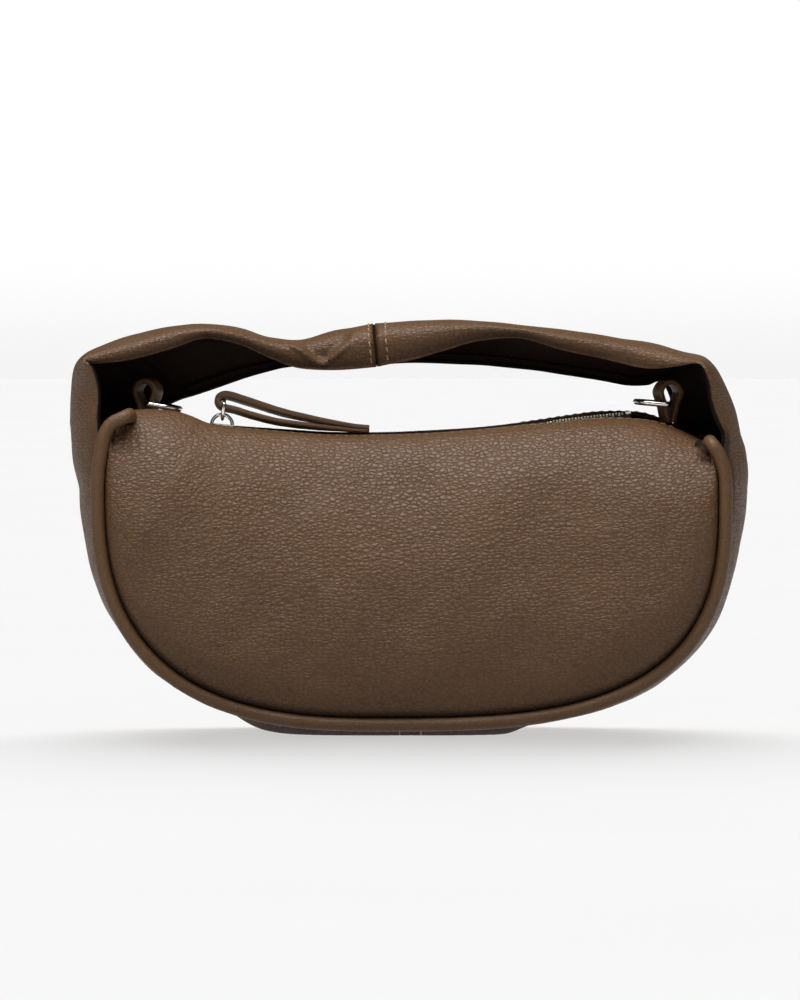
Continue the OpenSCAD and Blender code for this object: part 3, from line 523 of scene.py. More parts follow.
# Height of the front zip edge, of the rear one, and of each crest beside it, along the bag
front_edge = [(-111, 121.0), (-100, 121.8), (-90, 120.9), (-80, 119.5), (-67, 118.2), (-45, 116.3),
              (-30, 115.3), (-10, 115.3), (8, 115.9), (27, 117.3), (43, 118.9), (58, 120.2), (66, 121.2),
              (76, 121.9), (88.5, 121.4), (96, 120.2), (104, 117.4), (108, 115.6), (114, 112.6)]
front_crest = [(-111, 122.9), (-105, 124.9), (-98, 125.2), (-89, 124.4), (-83, 122.6), (-77.5, 120.2),
               (-70, 118.2), (-56, 116.6), (-45, 115.6), (-30, 114.3), (-10, 114.2), (8, 114.8), (27, 116.2),
               (43, 117.6), (58, 118.6), (73, 119.8), (88.5, 119.8), (96, 118.9), (104, 116.4),
               (108, 114.8), (114, 111.9)]
rear_edge = [(-111, 121.0), (-100, 121.8), (-90, 120.9), (-80, 119.5), (-67, 118.4), (-45, 116.9),
             (-30, 116.0), (-10, 115.9), (8, 116.6), (27, 117.8), (43, 119.6), (58, 121.8), (66, 123.0),
             (74, 123.9), (88.5, 123.8), (96, 122.0), (104, 118.6), (108, 116.4), (114, 112.8)]
rear_crest = [(x, z - 1.1 + (2.4 if -108 < x < -83 else 0)) for x, z in rear_edge]


def panel_point(s, q, edge, crest, side):
    """s runs along the zip, q from the zip edge (-1) over the crest (0) to the piping (1)."""
    x = lerp(SHELF_LEFT, SHELF_RIGHT, s)
    ez, cz = curve(x, edge)[1], curve(x, crest)[1]
    if q <= 0:
        w = q + 1
        rise = w * w * (3 - 2 * w) if cz > ez else w ** 1.5
        return np.array([x, -lerp(SLOT, SHELF_Y, w), lerp(ez, cz, rise)])
    # The dome is lower where the panel is short, beside its corners
    low = outline_out(s, -SEAT_R + 0.1)
    reach = math.hypot(x - low[0], cz - low[1])
    depth = DOME * min(reach / 70, 1) ** 0.9
    bulge = (1 - abs(2 * q - 1) ** 2.2) ** 0.6
    p = np.array([lerp(x, low[0], q), -(lerp(SHELF_Y, EDGE_Y, q) + depth * bulge), lerp(cz, low[1], q)])
    slack = 1.9 * ripple(p[0], side * 40, p[2], 36, side * 3.1)
    slack += 0.5 * ripple(p[0], side * 40, p[2], 14, side)
    slack *= smooth(q * 6) * smooth((1 - q) * 8)
    pucker = 0.28 * math.sin(s * 420 + 3 * ripple(p[0], 0, p[2], 20, 5))
    pucker *= smooth((q - 0.86) * 9) * smooth((1 - q) * 30)
    p[1] -= slack + pucker
    return p


def panel(name, side, edge, crest, columns=150, rows=64):
    s_list = np.concatenate([np.linspace(0, 0.03, 16)[:-1], np.linspace(0.03, 0.96, columns),
                             np.linspace(0.96, 1, 20)[1:]])
    q_list = np.concatenate([np.linspace(-1, 0, 9)[:-1], (1 - np.cos(np.linspace(0, math.pi, rows))) / 2])
    grid = np.array([[panel_point(s, q, edge, crest, side) for q in q_list] for s in s_list])
    if side > 0:
        grid[:, :, 1] *= -1
        grid = grid[::-1]
    obj = shell(name, grid, PANEL_T)
    # Painted shade in the groove along the piping
    mark_painted_shade(obj, np.tile(smooth((q_list - 0.966) / 0.028), (len(grid), 1)))
    place(obj, body_leather, "bag", "leather", "front_panel" if side < 0 else "back_panel")
    return grid


front_grid = panel("panel_skin_front", -1, front_edge, front_crest)
back_grid = panel("panel_skin_back", 1, rear_edge, rear_crest)

# A row of stitches beside the zip. Where the right corner is pulled up they stand a little prouder
for grid, tag in ((front_grid, "front"), (back_grid, "back")):
    line, n = grid[:, 3], grid_normals(grid)[:, 3]
    along = line[:, 0] + n[:, 0] * 0.22
    for part, low, high, sunk in (("flat", -104, 44, 0.22), ("raised", 42, 104, -0.08)):
        chosen = (along > low) & (along < high)
        row = line[chosen] + n[chosen] * sunk
        seam = stitches(f"zip_stitch_{part}_{tag}", row, -n[chosen], pitch=3.4, width=0.5, gap=0.2)
        place(seam, tan_thread, "bag", "leather")

# -------------------------------- gusset
GUSSET_EDGE = HALF_D - SEAT_R
BUTT_X = LOW_X + 11
SHOULDER_LEFT, SHOULDER_RIGHT = 7.5, 3.0


def strip_point(u, w, inset=0.0):
    """u runs along the outline, w across the bag from -1 in front to 1 behind."""
    p = outline(u)
    window = 1 - smooth((abs(p[0] - LOW_X) - FOOT_L / 2) / (FOOT_L * 0.35))
    side = min(max((p[1] - CORD_LOW_Z) / (WIDEST_Z - CORD_LOW_Z), 0), 1)
    full = SWELL * (1 if p[0] > LOW_X else 0.85)
    swell = max(full * lerp(0.45, 1, side ** 1.5), (CORD_LOW_Z + STRIP_T) * window)
    swell += SHOULDER_LEFT * max(1 - u / TURN_LEFT, 0)
    swell += SHOULDER_RIGHT * max((u - TURN_RIGHT) / (1 - TURN_RIGHT), 0)
    x, z = outline_out(u, swell * (1 - abs(w) ** 2.2) + STRIP_T / 2 - inset)
    return np.array([x, w * GUSSET_EDGE, max(z, inset)])


def find_u(x):
    """Where the outline passes x at the bottom."""
    a, b = 0.2, 0.8
    for _ in range(30):
        m = (a + b) / 2
        a, b = (m, b) if outline(m)[0] < x else (a, m)
    return (a + b) / 2


# Places across the strip, closer together at its edges
across = np.sign(np.linspace(-1, 1, 49)) * np.abs(np.linspace(-1, 1, 49)) ** 0.85
U_TOP_LEFT = TURN_LEFT * 0.45
U_TOP_RIGHT = lerp(1, TURN_RIGHT, 0.35)

# -------------------------------- handle
JOINT_X = -11.4
JOINT = (JOINT_X - SHIFT) / (BODY_W / 2)
# Rows along each half, in shares of the bag's size: place, the strap's front edge in x, y and z, its
# middle in x and z, its rear edge in x, y and z, and how far out its width stays full
left_rows = [
    [0.10, -1.002, 0.915, 0.40, -1.100, 0.38, -1.002, 0.89, 0.37, 1.0],
    [0.20, -1.000, 0.93, 0.585, -1.093, 0.555, -0.985, 0.84, 0.415, 1.05],
    [0.30, -1.018, 0.91, 0.71, -1.080, 0.705, -0.88, 0.82, 0.455, 1.15],
    [0.37, -1.045, 0.82, 0.745, -1.045, 0.783, -0.80, 0.79, 0.48, 1.4],
    [0.43, -1.000, 0.74, 0.742, -0.985, 0.835, -0.745, 0.74, 0.52, 1.7],
    [0.53, -0.888, 0.65, 0.762, -0.88, 0.90, -0.68, 0.68, 0.555, 2],
    [0.63, -0.763, 0.59, 0.825, -0.763, 0.955, -0.595, 0.62, 0.61, 2],
    [0.71, -0.655, 0.56, 0.88, -0.655, 0.967, -0.53, 0.59, 0.65, 2],
    [0.78, -0.546, 0.53, 0.84, -0.546, 0.937, -0.465, 0.545, 0.682, 2],
    [0.85, -0.446, 0.50, 0.755, -0.446, 0.886, -0.41, 0.53, 0.70, 2],
    [0.91, -0.354, 0.515, 0.70, -0.354, 0.876, -0.35, 0.53, 0.708, 2],
    [0.96, -0.23, 0.53, 0.693, -0.23, 0.935, -0.23, 0.53, 0.71, 2],
    [1.00, JOINT, 0.53, 0.71, JOINT, 0.973, JOINT, 0.53, 0.72, 2],
]
right_rows = [
    [0.00, JOINT, 0.53, 0.71, JOINT, 0.973, JOINT, 0.53, 0.72, 2],
    [0.05, 0.03, 0.52, 0.765, 0.03, 0.988, 0.03, 0.53, 0.735, 2],
    [0.12, 0.197, 0.47, 0.862, 0.197, 0.99, 0.197, 0.53, 0.723, 2],
    [0.19, 0.347, 0.45, 0.882, 0.347, 0.963, 0.347, 0.545, 0.70, 2],
    [0.27, 0.472, 0.48, 0.82, 0.472, 0.934, 0.472, 0.56, 0.672, 2],
    [0.35, 0.573, 0.52, 0.775, 0.598, 0.905, 0.59, 0.59, 0.635, 2],
    [0.43, 0.656, 0.56, 0.735, 0.727, 0.875, 0.69, 0.62, 0.598, 2],
    [0.50, 0.756, 0.62, 0.70, 0.806, 0.846, 0.765, 0.68, 0.60, 2],
    [0.57, 0.848, 0.735, 0.72, 0.881, 0.80, 0.805, 0.735, 0.625, 1.7],
    [0.64, 0.915, 0.85, 0.738, 0.948, 0.758, 0.835, 0.80, 0.555, 1.4],
    [0.74, 0.944, 0.88, 0.646, 0.998, 0.646, 0.852, 0.82, 0.45, 1.15],
    [0.86, 0.96, 0.85, 0.492, 1.04, 0.462, 0.862, 0.83, 0.36, 1.0],
    [0.94, 0.997, 0.865, 0.33, 1.058, 0.31, 0.93, 0.85, 0.262, 1.0],
]
# Rows along each half: place, how far in mm the strap's free edges roll inwards, and how late they do so
left_roll = [(0.0, 0.0, 2.8), (0.08, 1.0, 2.8), (0.2, 2.4, 2.8), (0.4, 3.0, 2.8), (0.55, 3.8, 2.8),
             (0.75, 4.4, 2.8), (0.88, 5.4, 2.8), (1.0, 5.8, 2.8)]
right_roll = [(0.0, 5.8, 2.8), (0.06, 5.6, 2.7), (0.12, 5.5, 2.4), (0.2, 4.6, 2.4), (0.35, 4.6, 2.6),
              (0.5, 4.0, 2.8), (0.6, 3.0, 2.8), (0.75, 2.4, 2.8), (0.9, 1.2, 2.8), (1.0, 0.0, 2.8)]


def strap_x(share):
    return SHIFT + share * BODY_W / 2


def strap_z(share):
    return lerp(WIDEST_Z, HANDLE_TOP, share)


def section(v, rows, w_list, roll):
    """The strap's section at v: a bowed line whose free edges roll inwards."""
    row = curve(v, rows)
    amount, power = curve(v, roll)[1:3]
    out = []
    for w in w_list:
        a = abs(w)
        k = 1 if w < 0 else 6
        bow = a ** 2.2
        turned = amount * 1.5 * max((a - 0.2) / 0.8, 0) ** power
        out.append([strap_x(lerp(row[4], row[k], bow)),
                    np.sign(w) * (row[k + 1] * HALF_D * (1 - (1 - a) ** row[9]) - turned),
                    strap_z(lerp(row[5], row[k + 2], bow))])
    return np.array(out)


def left_section(v, w_list):
    first = left_rows[0][0]
    if v >= first:
        return section(v, left_rows, w_list, left_roll)
    end = np.array([strip_point(U_TOP_LEFT, w) for w in w_list])
    return lerp(end, section(first, left_rows, w_list, left_roll), v / first)


def right_section(v, w_list):
    last = right_rows[-1][0]
    if v <= last:
        return section(v, right_rows, w_list, right_roll)
    end = np.array([strip_point(U_TOP_RIGHT, w) for w in w_list])
    return lerp(section(last, right_rows, w_list, right_roll), end, (v - last) / (1 - last))


def strap_grid(sections, v0, v1, count, w_share=1.0):
    return np.array([sections(v, -across * w_share) for v in np.linspace(v0, v1, count)])


def gusset_grid(u0, u1, count, w_share=1.0, inset=0.0):
    return np.array([[strip_point(u, w, inset) for w in -across * w_share]
                     for u in np.linspace(u0, u1, count)])


def crease(grid):
    """Soft handling folds of the strip, none of them where it rests on the ground."""
    n = grid_normals(grid)
    for i in range(grid.shape[0]):
        for j in range(grid.shape[1]):
            x, y, z = grid[i, j]
            soft = 0.45 * ripple(x, y, z, 13, 4.2) + 0.9 * ripple(x, y * 0.6, z, 30, 7.7)
            free = smooth((z - 2.5) / 12) * (1 if z > 112 else 1 - abs(across[j]) ** 3)
            grid[i, j] -= n[i, j] * soft * free
    return grid


# Ridge of the fold where the handle is pressed in, left of the butt joint
fold_ridge = [(-48, 152.5), (-45, 150.8), (-41, 148.5), (-37.4, 145.5), (-34.4, 143.6), (-32, 143.2),
              (-29.8, 145.0), (-27, 147.5), (-24, 149.8), (-20, 153.0)]


DENT = 4.4


def near_fold(grid):
    """1 on the front of the handle at the pressed fold, 0 away from it."""
    x, y, z = grid[..., 0], grid[..., 1], grid[..., 2]
    return smooth((x + 52) / 6) * smooth((-15 - x) / 6) * smooth(-y / 5) * smooth((z - 136) / 4)


def pressed(grid, ridge=1.5, clear=0.0):
    """Push the leather above the ridge back, so that the ridge stands out as a sharp V."""
    grid[..., 1] += clear * near_fold(grid)
    for i in range(grid.shape[0]):
        for j in range(grid.shape[1]):
            x, y, z = grid[i, j]
            if -49 < x < -19 and z > 140 and y < -1:
                above = z - curve(x, fold_ridge)[1]
                depth = smooth((above + 0.4) / 2.6) * smooth((x + 49) / 7) * smooth((-19 - x) / 6)
                crown = smooth(1 - abs(above + 0.9) / 1.7) * smooth((-21 - x) / 5) * smooth((x + 48) / 4)
                grid[i, j, 1] += DENT * depth * smooth(-y / 7) - ridge * crown
    return grid


def leaned(grid):
    """The butt joint at the top of the handle leans a little to the left."""
    x, z = grid[..., 0], grid[..., 2]
    near = smooth(1 - abs(x - JOINT_X) / 15) * (z > 130)
    grid[..., 0] -= near * (0.4 + 1.3 * smooth((z - 141) / 17))
    return grid


# Half of the butt joint's gap at the top of the handle
BUTT = 0.4 / BODY_W
strip = {
    "left": leaned(crease(np.concatenate([gusset_grid(find_u(BUTT_X - 0.2), U_TOP_LEFT, 120)[:-1],
                                          pressed(strap_grid(left_section, 0, 1 - BUTT, 230))]))),
    "right": leaned(crease(np.concatenate([strap_grid(right_section, BUTT, 1, 190),
                                           gusset_grid(U_TOP_RIGHT, find_u(BUTT_X + 0.2), 120)[1:]]))),
}
for tag, sign in (("left", -1), ("right", 1)):
    obj = shell("strip_" + tag, strip[tag], STRIP_T * (1 - 0.75 * near_fold(strip[tag])))
    # Painted shade: darker in the groove beside the piping, most high up the bag's right side, and near the
    # ground under the bag
    heights = strip[tag][..., 2]
    painted_groove_shade = (0.3 + 0.7 * (tag == "right") * smooth((heights - 78) / 10)) * smooth((122 - heights) / 8)
    painted_groove_shade = painted_groove_shade * smooth((abs(across)[None, :] - 0.8) / 0.12)
    mark_painted_shade(obj, np.maximum(painted_groove_shade, 0.9 * smooth((11 - heights) / 8)))
    paint(obj, strip_leather, inner_leather)
    columns, rows = strip[tag].shape[:2]
    faces = (columns - 1) * (rows - 1)
    inner = np.arange(len(obj.data.polygons)) >= faces
    # At the two butt joints the strip's own leather is turned over the rim
    for first in (columns - 1, 2 * columns + rows - 3):
        inner[2 * faces + 2 * first:2 * faces + 2 * (first + rows - 1)] = False
    obj.data.polygons.foreach_set("material_index", inner.astype(int))
    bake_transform(obj)
    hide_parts("gusset_" + tag, "shoulder_" + tag, "handle_" + tag)


def column_at(grid, distance, start):
    """The column of the grid that lies this far from its start or end, measured along its middle."""
    run = travel(grid[:, grid.shape[1] // 2])
    run = run if start else run[-1] - run
    return int(np.argmin(abs(run - distance)))


# Stitches beside the butt joint at the top of the handle and under the bag
for tag, top_gap, base_gap, top_first in (("left", 2.1, 3.8, False), ("right", 3.6, 3.4, True)):
    n = grid_normals(strip[tag])
    top = column_at(strip[tag], top_gap, top_first)
    seam = stitches("handle_stitch_" + tag, strip[tag][top, 1:-1], -n[top, 1:-1], pitch=3.5, width=0.62,
                    gap=0.2, slant=0.3)
    place(seam, tan_thread, "handle", "leather")
    base = column_at(strip[tag], base_gap, not top_first)
    line = strip[tag][base, 1:-1].copy()
    line[:, 2] = np.maximum(line[:, 2], 0.5)
    seam = stitches("base_stitch_" + tag, line, -n[base, 1:-1], pitch=3.6, width=0.6, gap=0.2)
    place(seam, tan_thread, "bag", "leather")

for tag, sections, v0, v1 in (("left", left_section, 0.48, 0.95), ("right", right_section, 0.04, 0.57)):
    grid = leaned(crease(pressed(strap_grid(sections, v0, v1, 110, 0.94), 0.0, 1.6)))
    obj = shell("facing_" + tag, grid + grid_normals(grid) * (STRIP_T + 0.5), 0.8)
    place(obj, inner_leather, "handle", "inner_leather", "handle_facing_" + tag)
grid = leaned(crease(np.concatenate([pressed(strap_grid(left_section, 0.966, 1 - BUTT, 20, 0.9), 0.0, 1.6),
                                     strap_grid(right_section, BUTT, 0.024, 8, 0.9)])))
obj = shell("patch_handle", grid + grid_normals(grid) * (STRIP_T + 0.15), 1.0)
place(obj, inner_leather, "handle", "inner_leather", "handle_joint_patch")
grid = gusset_grid(find_u(BUTT_X - 8), find_u(BUTT_X + 8), 12, 0.9, STRIP_T + 0.2)[::-1]
obj = shell("patch_base", grid, 1.0)
place(obj, inner_leather, "bag", "inner_leather", "base_joint_patch")
grid = gusset_grid(U_TOP_LEFT, U_TOP_RIGHT, 90, 0.93, STRIP_T + 1.5)[::-1]
obj = shell("cloth_gusset", grid, CLOTH_T)
place(obj, lining_cloth, "bag", "lining", "lining_gusset")
declare_cloth(obj, grid, "strip_left", "strip_right")
for tag, grid in (("front", front_grid), ("back", back_grid)):
    cut = grid[2:-2:3, 9:-3:3]
    cut = cut + grid_normals(cut) * (PANEL_T + 0.5)
    obj = shell("cloth_" + tag, cut, CLOTH_T)
    place(obj, lining_cloth, "bag", "lining", "lining_" + tag)
    declare_cloth(obj, cut, "panel_skin_" + tag)

# -------------------------------- piping
def piping_path():
    """The front cord's line and its outward directions; both ends turn in between the panels."""
    turn_r = PIPING_R * 1.3
    path, out = [], []

    def corner(u, sense, theta, run):
        p, n = outline(u), outward(u)
        t = math.radians(theta)
        along = turn_r * math.sin(t)
        path.append([p[0] - sense * n[1] * along, -HALF_D + turn_r * (1 - math.cos(t)) + run,
                     p[1] + sense * n[0] * along - 0.12 * run])
        out.append([n[0], 0, n[1]])

    for run in np.linspace(8, 0, 8):
        corner(0, -1, 90, run)
    for k in range(9, 0, -1):
        corner(0, -1, 9 * k, 0)
    last = lerp(TURN_RIGHT, 1, 0.82)
    for u in np.linspace(0, last, 300):
        p, n = outline(u), outward(u)
        path.append([p[0], -HALF_D, p[1]])
        out.append([n[0], 0, n[1]])
    for k in range(1, 10):
        corner(last, 1, 9 * k, 0)
    for run in np.linspace(0, 8, 8):
        corner(last, 1, 90, run)
    return np.array(path), np.array(out)


path, out = piping_path()
for side, tag in ((1, "front"), (-1, "back")):
    flip = np.array([1, side, 1])
    radius = np.array([PIPING_R * (1 + 0.03 * ripple(p[0], side * 10, p[2], 4.5, 2.2)
                                   + 0.025 * ripple(p[0], side * 10, p[2], 14, 3.1)) for p in path])
    obj = tube("cord_piping_" + tag, path * flip, radius, 20, frames=out * flip)
    place(obj, piping_leather, "bag", "piping_leather", "piping_" + tag, "filler_" + tag)

# -------------------------------- zip
CHAIN_RIGHT, SLIDER_X = RIGHT_X - 37.2, LEFT_X + 46.4
TAPE_LEFT, TAPE_RIGHT = SLIDER_X - 8.6, CHAIN_RIGHT + 2
TAPE_IN, TAPE_W, PITCH = 1.3, 13.0, 2.4
# Beyond the slider's travel the pulled corner lifts the closed chain a little
lifted = [(44, 0.0), (50, 0.4), (56, 1.1), (62, 1.15), (68, 0.95), (74, 0.7), (80, 0.3), (84, 0.0), (92, 0.0)]


def chain_z(x):
    return arc_z(x) + (curve(x, lifted)[1] if x > lifted[0][0] else 0)


def on_zip(x, local):
    """Points given along, across and up from the chain at x."""
    a = math.asin((x - ZIP_X) / ARC_R)
    along, side, up = np.moveaxis(local, -1, 0)
    return np.stack([x + along * math.cos(a) - up * math.sin(a), side,
                     chain_z(x) + along * math.sin(a) + up * math.cos(a)], -1)


def tooth_rings():
    """The outline of one tooth, from its lower face to its upper one."""
    half = [(-0.44, 3.0), (-0.46, 1.25), (-0.28, 0.55), (-0.5, 0.05), (-0.5, -0.7), (-0.26, -1.08)]
    ring = np.array(half + [(-a, b) for a, b in reversed(half)])
    centre = ring.mean(0)
    out = []
    for z, inset in ((-1.1, 0.16), (-0.94, 0.0), (0.94, 0.0), (1.1, 0.16)):
        reach = np.maximum(np.linalg.norm(ring - centre, axis=1), 0.6)[:, None]
        out.append([(p[0], p[1], z) for p in centre + (ring - centre) * (1 - inset / reach)])
    return np.array(out)


def teeth(tag, side):
    rings = tooth_rings() * np.array([1, side, 1])
    sides = rings.shape[1]
    verts, faces = [], []
    shift = 0 if side < 0 else PITCH / 2
    for k in range(int((CHAIN_RIGHT - SLIDER_X) / PITCH)):
        base = len(verts)
        verts += list(on_zip(SLIDER_X + shift + k * PITCH, rings).reshape(-1, 3))
        tooth = wall_faces(len(rings), sides, base) + caps(len(rings), sides, base)
        faces += tooth if side < 0 else [f[::-1] for f in tooth]
    obj = new_object("teeth_" + tag, verts, faces)
    place(obj, tooth_nickel, "bag", "zip_metal", "zip_teeth_" + tag)


def tape(tag, side, edge, crest):
    rows = np.linspace(0, 1, 13)
    grid = []
    for x in np.linspace(TAPE_LEFT, TAPE_RIGHT, 120):
        near = chain_z(x) + 0.3
        under = min(curve(x, edge)[1] - PANEL_T - 0.3, near)
        far = min(under, curve(x, crest)[1] - PANEL_T - 0.3)
        height = [lerp(lerp(near, under, smooth((w - 0.08) * 4)), far, w ** 2) for w in rows]
        grid.append([[x, side * (TAPE_IN + TAPE_W * w), z] for w, z in zip(rows, height)])
    grid = np.array(grid)
    obj = shell("tape_" + tag, grid if side < 0 else grid[::-1], CLOTH_T)
    place(obj, tape_cloth, "bag", "zip_tape", "zip_tape_" + tag)


for tag, side, edge, crest in (("front", -1, front_edge, front_crest), ("back", 1, rear_edge, rear_crest)):
    teeth(tag, side)
    tape(tag, side, edge, crest)


def corner_z(x, y=0.0):
    """Height of the leather ends beyond the tapes, under the panels' shelves beside them."""
    low = (curve(x, front_edge)[1] + curve(x, rear_edge)[1]) / 2
    edge, crest = (front_edge, front_crest) if y < 0 else (rear_edge, rear_crest)
    w = np.clip((abs(y) - SLOT) / (SHELF_Y - SLOT), 0, 1)
    shelf = lerp(curve(x, edge)[1], curve(x, crest)[1], w ** 1.5)
    return min(min(low, shelf) - PANEL_T - 0.4, arc_z(x) + 0.3)


for tag, x0, x1 in (("left", SHELF_LEFT - 2.4, TAPE_LEFT - 0.3),
                    ("right", TAPE_RIGHT + 0.3, SHELF_RIGHT + 2.4)):
    grid = np.array([[[x, y, corner_z(x, y) - 0.2 * abs(ripple(x, y, 0, 8, 3))]
                      for y in np.linspace(13.5, -13.5, 19)] for x in np.linspace(x0, x1, 26)])
    obj = shell("tab_" + tag, grid, 1.4)
    place(obj, strap_leather, "bag", "leather", "zip_end_" + tag)
    x = x1 - 2.2 if tag == "left" else x0 + 2.2
    row = np.array([[x, y, corner_z(x)] for y in np.linspace(-5, 5, 12)])
    seam = stitches("tab_stitch_" + tag, row, np.tile([0, 0, 1], (12, 1)), pitch=2.6, width=0.55)
    place(seam, tan_thread, "bag", "leather")


# These three keep the construction's shape, with their edges rounded off by so many millimetres
for name, bevel in (("zip_slider", 0.16), ("zip_top_stops", 0.15), ("zip_bottom_stop", 0.15)):
    obj = nodes[name]
    for item in obj.material_slots:
        item.material = nickel
    modifier = obj.modifiers.new("bevel", "BEVEL")
    modifier.width, modifier.segments = bevel / 1000, 2
    modifier.limit_method, modifier.angle_limit = "ANGLE", math.radians(40)

# -------------------------------- link, puller, loops and rings
WIRE, BRIDGE_TOP = 1.4, 2.5 - 0.275 + 4.0
LINK_LOW = BRIDGE_TOP - WIRE - 0.3
WIRE_Z = LINK_LOW + 6.9
PULLER_W, TIP, EYE = 6.6, np.array([-14.9, 0, 117.2]), np.array([-73.0, 0, 128.0])
LOOP_R, LOOP_W, LOOP_T = 4.25, 7.0, 2.4
RING_X, RING_W, RING_L, RING_WIRE, RING_DROP = BODY_W / 2 - 19.4, 16.6, 14.8, 2.3, 4.4
LOOP_TURN = math.radians(24)


def rounded(points, radii, steps=7):
    """A path round the first corners of a closed one, for as many as there are radii."""
    points = np.asarray(points, float)
    out = []
    for i, r in enumerate(radii):
        p = points[i]
        u, v = (unit(points[k % len(points)] - p) for k in (i - 1, i + 1))
        out += [p + u * r * (1 - t) ** 2 + v * r * t ** 2 for t in np.linspace(0, 1, steps + 1)]
    return np.array(out)


def band(name, path, width, thick, seed, sides=24):
    """A leather strip swept along a path in the XZ plane, with rounded edges. It is thick[0] at its
    start, thick[1] and thick[2] on both sides of its middle and thick[3] at its end."""
    path = np.asarray(path, float)
    run = travel(path)
    fine = np.linspace(0, run[-1], int(run[-1] / 0.6) + 2)
    knots = np.column_stack([run, path])
    pts = np.array([curve(f, knots)[1:3] for f in fine])
    thick = np.interp(fine, [0, run[-1] * 0.45, run[-1] * 0.55, run[-1]], thick)
    tangent = np.gradient(pts, axis=0)
    tangent /= np.linalg.norm(tangent, axis=1, keepdims=True)
    verts = []
    for (x, z), (tx, tz), t in zip(pts, tangent, thick):
        for k in range(sides):
            a = 2 * math.pi * (k + 0.5) / sides
            c, s = (np.sign(v) * abs(v) ** power for v, power in ((math.cos(a), 0.35), (math.sin(a), 0.62)))
            wide = c * width / 2 * (1 + 0.012 * ripple(x, c, z, 5, seed))
            up = s * t / 2 * (1 + 0.06 * ripple(x, c * 3, z, 4, seed + 2))
            verts.append((x - tz * up, wide, z + tx * up))
    return new_object(name, verts, wall_faces(len(pts), sides) + caps(len(pts), sides))


def twisted(points):
    """The puller is turned a little about its length, and lies level again at its tip."""
    d = unit(EYE - TIP)
    r = points - TIP
    t = math.radians(13) * smooth(r @ d / 30)[:, None]
    return TIP + r * np.cos(t) + np.cross(d, r) * np.sin(t) + np.outer(r @ d, d) * (1 - np.cos(t))


half = (PULLER_W + WIRE) / 2 + 0.3
link = rounded([(0, -half, LINK_LOW), (0, half, LINK_LOW), (0, half, WIRE_Z), (0, -half, WIRE_Z)], [2.4] * 4)
obj = tube("wire_link", on_zip(SLIDER_X, link), WIRE / 2, 14, closed=True)
place(obj, bright_nickel, "link", "zip_metal", "pull_link")

# From the free tip along the upper layer, round the wire link and back along the lower layer
puller_path = [(-14.9, 117.75), (-20, 118.2), (-26, 119.1), (-33.6, 120.3), (-41.2, 121.9), (-48.9, 123.7),
               (-56.5, 126.1), (-64.1, 128.6), (-68.3, 129.9), (-71.0, 130.2), (-72.9, 129.2),
               (-73.3, 127.5), (-72.2, 125.9), (-70.2, 125.2), (-67, 124.5), (-60.3, 122.4), (-50.8, 120.0),
               (-41.2, 118.6), (-33.6, 117.8), (-26, 117.2), (-20, 116.7), (-14.9, 116.5)]
obj = band("puller_strap", puller_path, PULLER_W, [1.95, 3.0, 2.4, 1.75], 1.0)
for v in obj.data.vertices:
    v.co = twisted(np.array([v.co[:]]) * 1000)[0] / 1000
place(obj, strap_leather, "puller", "leather", "leather_puller")

for tag, x, tilt, side in (("left", -RING_X, 10, 1), ("right", RING_X, 5, -1)):
    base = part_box("ring_loop_" + tag)
    # The height of the arch's middle, of the ring's straight side that hangs in it, and of its feet
    arch = base[1][2] * 1000 - LOOP_R - LOOP_T / 2
    bar = arch - RING_DROP
    root = base[0][2] * 1000 + 0.3
    leg = [(-1.2, root), (-1.25, root + 1.0), (-1.9, (root + bar) / 2 + 0.4), (-2.65, bar - 0.1),
           (-3.45, (bar + arch) / 2)]
    over = [(LOOP_R * math.cos(a), arch + LOOP_R * math.sin(a)) for a in np.linspace(math.pi, 0, 13)]
    path = leg + over + [(-px, pz) for px, pz in reversed(leg)]
    obj = band("loop_strap_" + tag, [(x + px, pz) for px, pz in path], LOOP_W,
               [LOOP_T, LOOP_T - 0.1, LOOP_T - 0.1, LOOP_T], x)
    turn = -LOOP_TURN * side
    for v in obj.data.vertices:
        dx, dy = v.co.x - x / 1000, v.co.y
        v.co.x = x / 1000 + dx * math.cos(turn) - dy * math.sin(turn)
        v.co.y = dx * math.sin(turn) + dy * math.cos(turn)
    place(obj, strap_leather, "bag", "leather", "ring_loop_" + tag)
    bend = (RING_W - RING_WIRE) / 2
    arm = RING_L - RING_WIRE - bend
    corners = rounded([(0, bend, 0), (0, -bend, 0), (arm * 0.55, -bend, 0), (arm * 0.55, bend, 0)], [1.5] * 2)
    rear, front = np.split(corners, 2)
    half_turn = [(arm + bend * math.sin(a), -bend * math.cos(a), 0) for a in np.linspace(0, math.pi, 40)]
    t = math.radians(tilt)
    wire = [[x + side * (p[0] * math.cos(t)), p[1], bar - side * p[0] * math.sin(t)]
            for p in np.concatenate([front, half_turn, rear])]
    obj = tube("ring_wire_" + tag, wire, RING_WIRE / 2, 18, closed=True)
    place(obj, bright_nickel, "ring_" + tag, "ring_metal", "strap_ring_" + tag)

# -------------------------------- floor, backdrop and light
def stage(radius=8000.0, height=5000.0, under=-0.2, count=96):
    """A wide pale floor, and far away around it a white wall that only the camera sees."""
    turn = [2 * math.pi * k / count for k in range(count)]
    ring = [(radius * math.cos(a), radius * math.sin(a)) for a in turn]
    floor = new_object("paper_floor", [(x, y, under) for x, y in ring], [tuple(range(count))], False)
    paint(floor, paper("pale_paper", 0.80))
    wall = new_object("studio_wall", [(x, y, z) for z in (under, height) for x, y in ring],
                      [(k, k + count, (k + 1) % count + count, (k + 1) % count) for k in range(count)])
    paint(wall, glow("wall_white", 0.90, 1.0, 0.22))
    wall.visible_diffuse = wall.visible_glossy = wall.visible_transmission = wall.visible_shadow = False
    return floor


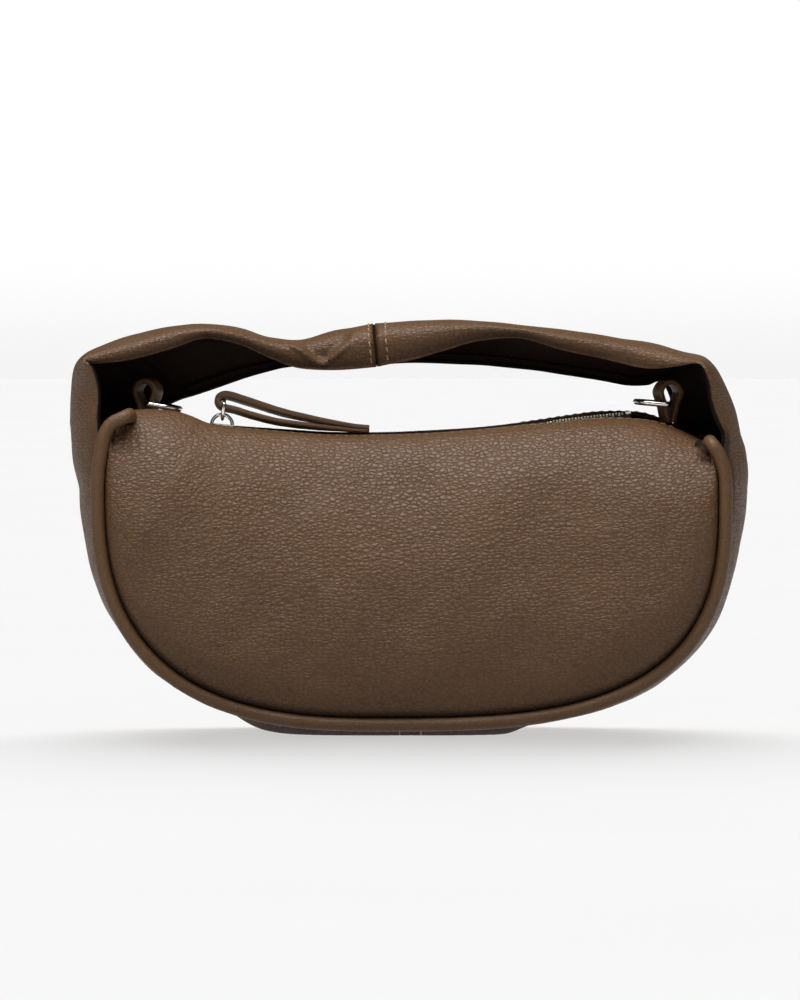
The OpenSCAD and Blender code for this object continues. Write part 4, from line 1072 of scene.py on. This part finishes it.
def lamp(name, kind, strength, where):
    data = bpy.data.lights.new(name, kind)
    data.energy = strength
    obj = bpy.data.objects.new(name, data)
    obj.location = where
    scene.collection.objects.link(obj)
    return obj


def area(name, where, look_z, size, power, tint):
    """A soft box of so many metres, turned to the bag at a height of look_z."""
    obj = lamp(name, "AREA", power, where)
    obj.data.shape, obj.data.color = "RECTANGLE", tint
    obj.data.size, obj.data.size_y = size
    obj.rotation_euler = (Vector((0, 0, look_z)) - Vector(where)).to_track_quat("-Z", "Y").to_euler()
    return obj


def sun(name, tilt, angle, strength):
    """An even light on the floor; a negative tilt brings it from behind the bag."""
    obj = lamp(name, "SUN", strength, (0, 0, 3))
    obj.data.angle = math.radians(angle)
    obj.rotation_euler = (math.radians(tilt), 0, 0)
    return obj


def only(light, obj, state, soft=False):
    """The light reaches this object alone (INCLUDE) or all but this object (EXCLUDE). A soft one
    is cut off by nothing else, as though it came round the bag from everywhere."""
    chosen = bpy.data.collections.new(light.name + "_reach")
    chosen.objects.link(obj)
    chosen.collection_objects[0].light_linking.link_state = state
    light.light_linking.receiver_collection = chosen
    if soft:
        light.light_linking.blocker_collection = chosen


floor = stage()
# Name, place, height looked at, size, watts and tint of the lights on the bag
WHITE, WARM = (1, 1, 1), (1.0, 0.86, 0.64)
for row in (("top_softbox", (-0.12, -0.36, 1.15), 0.08, (1.3, 0.7), 25.0, WHITE),
            ("front_fill", (-0.5, -2.3, 0.9), 0.08, (1.4, 1.4), 1.8, WARM),
            ("side_fill", (-1.5, -1.7, 0.22), 0.06, (0.9, 0.5), 3.0, WARM),
            ("back_fill", (0.5, 2.3, 0.9), 0.08, (1.4, 1.4), 1.8, WARM)):
    only(area(*row), floor, "EXCLUDE")
only(sun("floor_even", 0, 10, 2.2), floor, "INCLUDE", True)
only(sun("floor_shadow", -42, 60, 1.7), floor, "INCLUDE")
world = bpy.data.worlds.new("studio")
world.use_nodes = True
background = world.node_tree.nodes["Background"].inputs
background[0].default_value, background[1].default_value = (1, 1, 1, 1), 0.08
scene.world = world
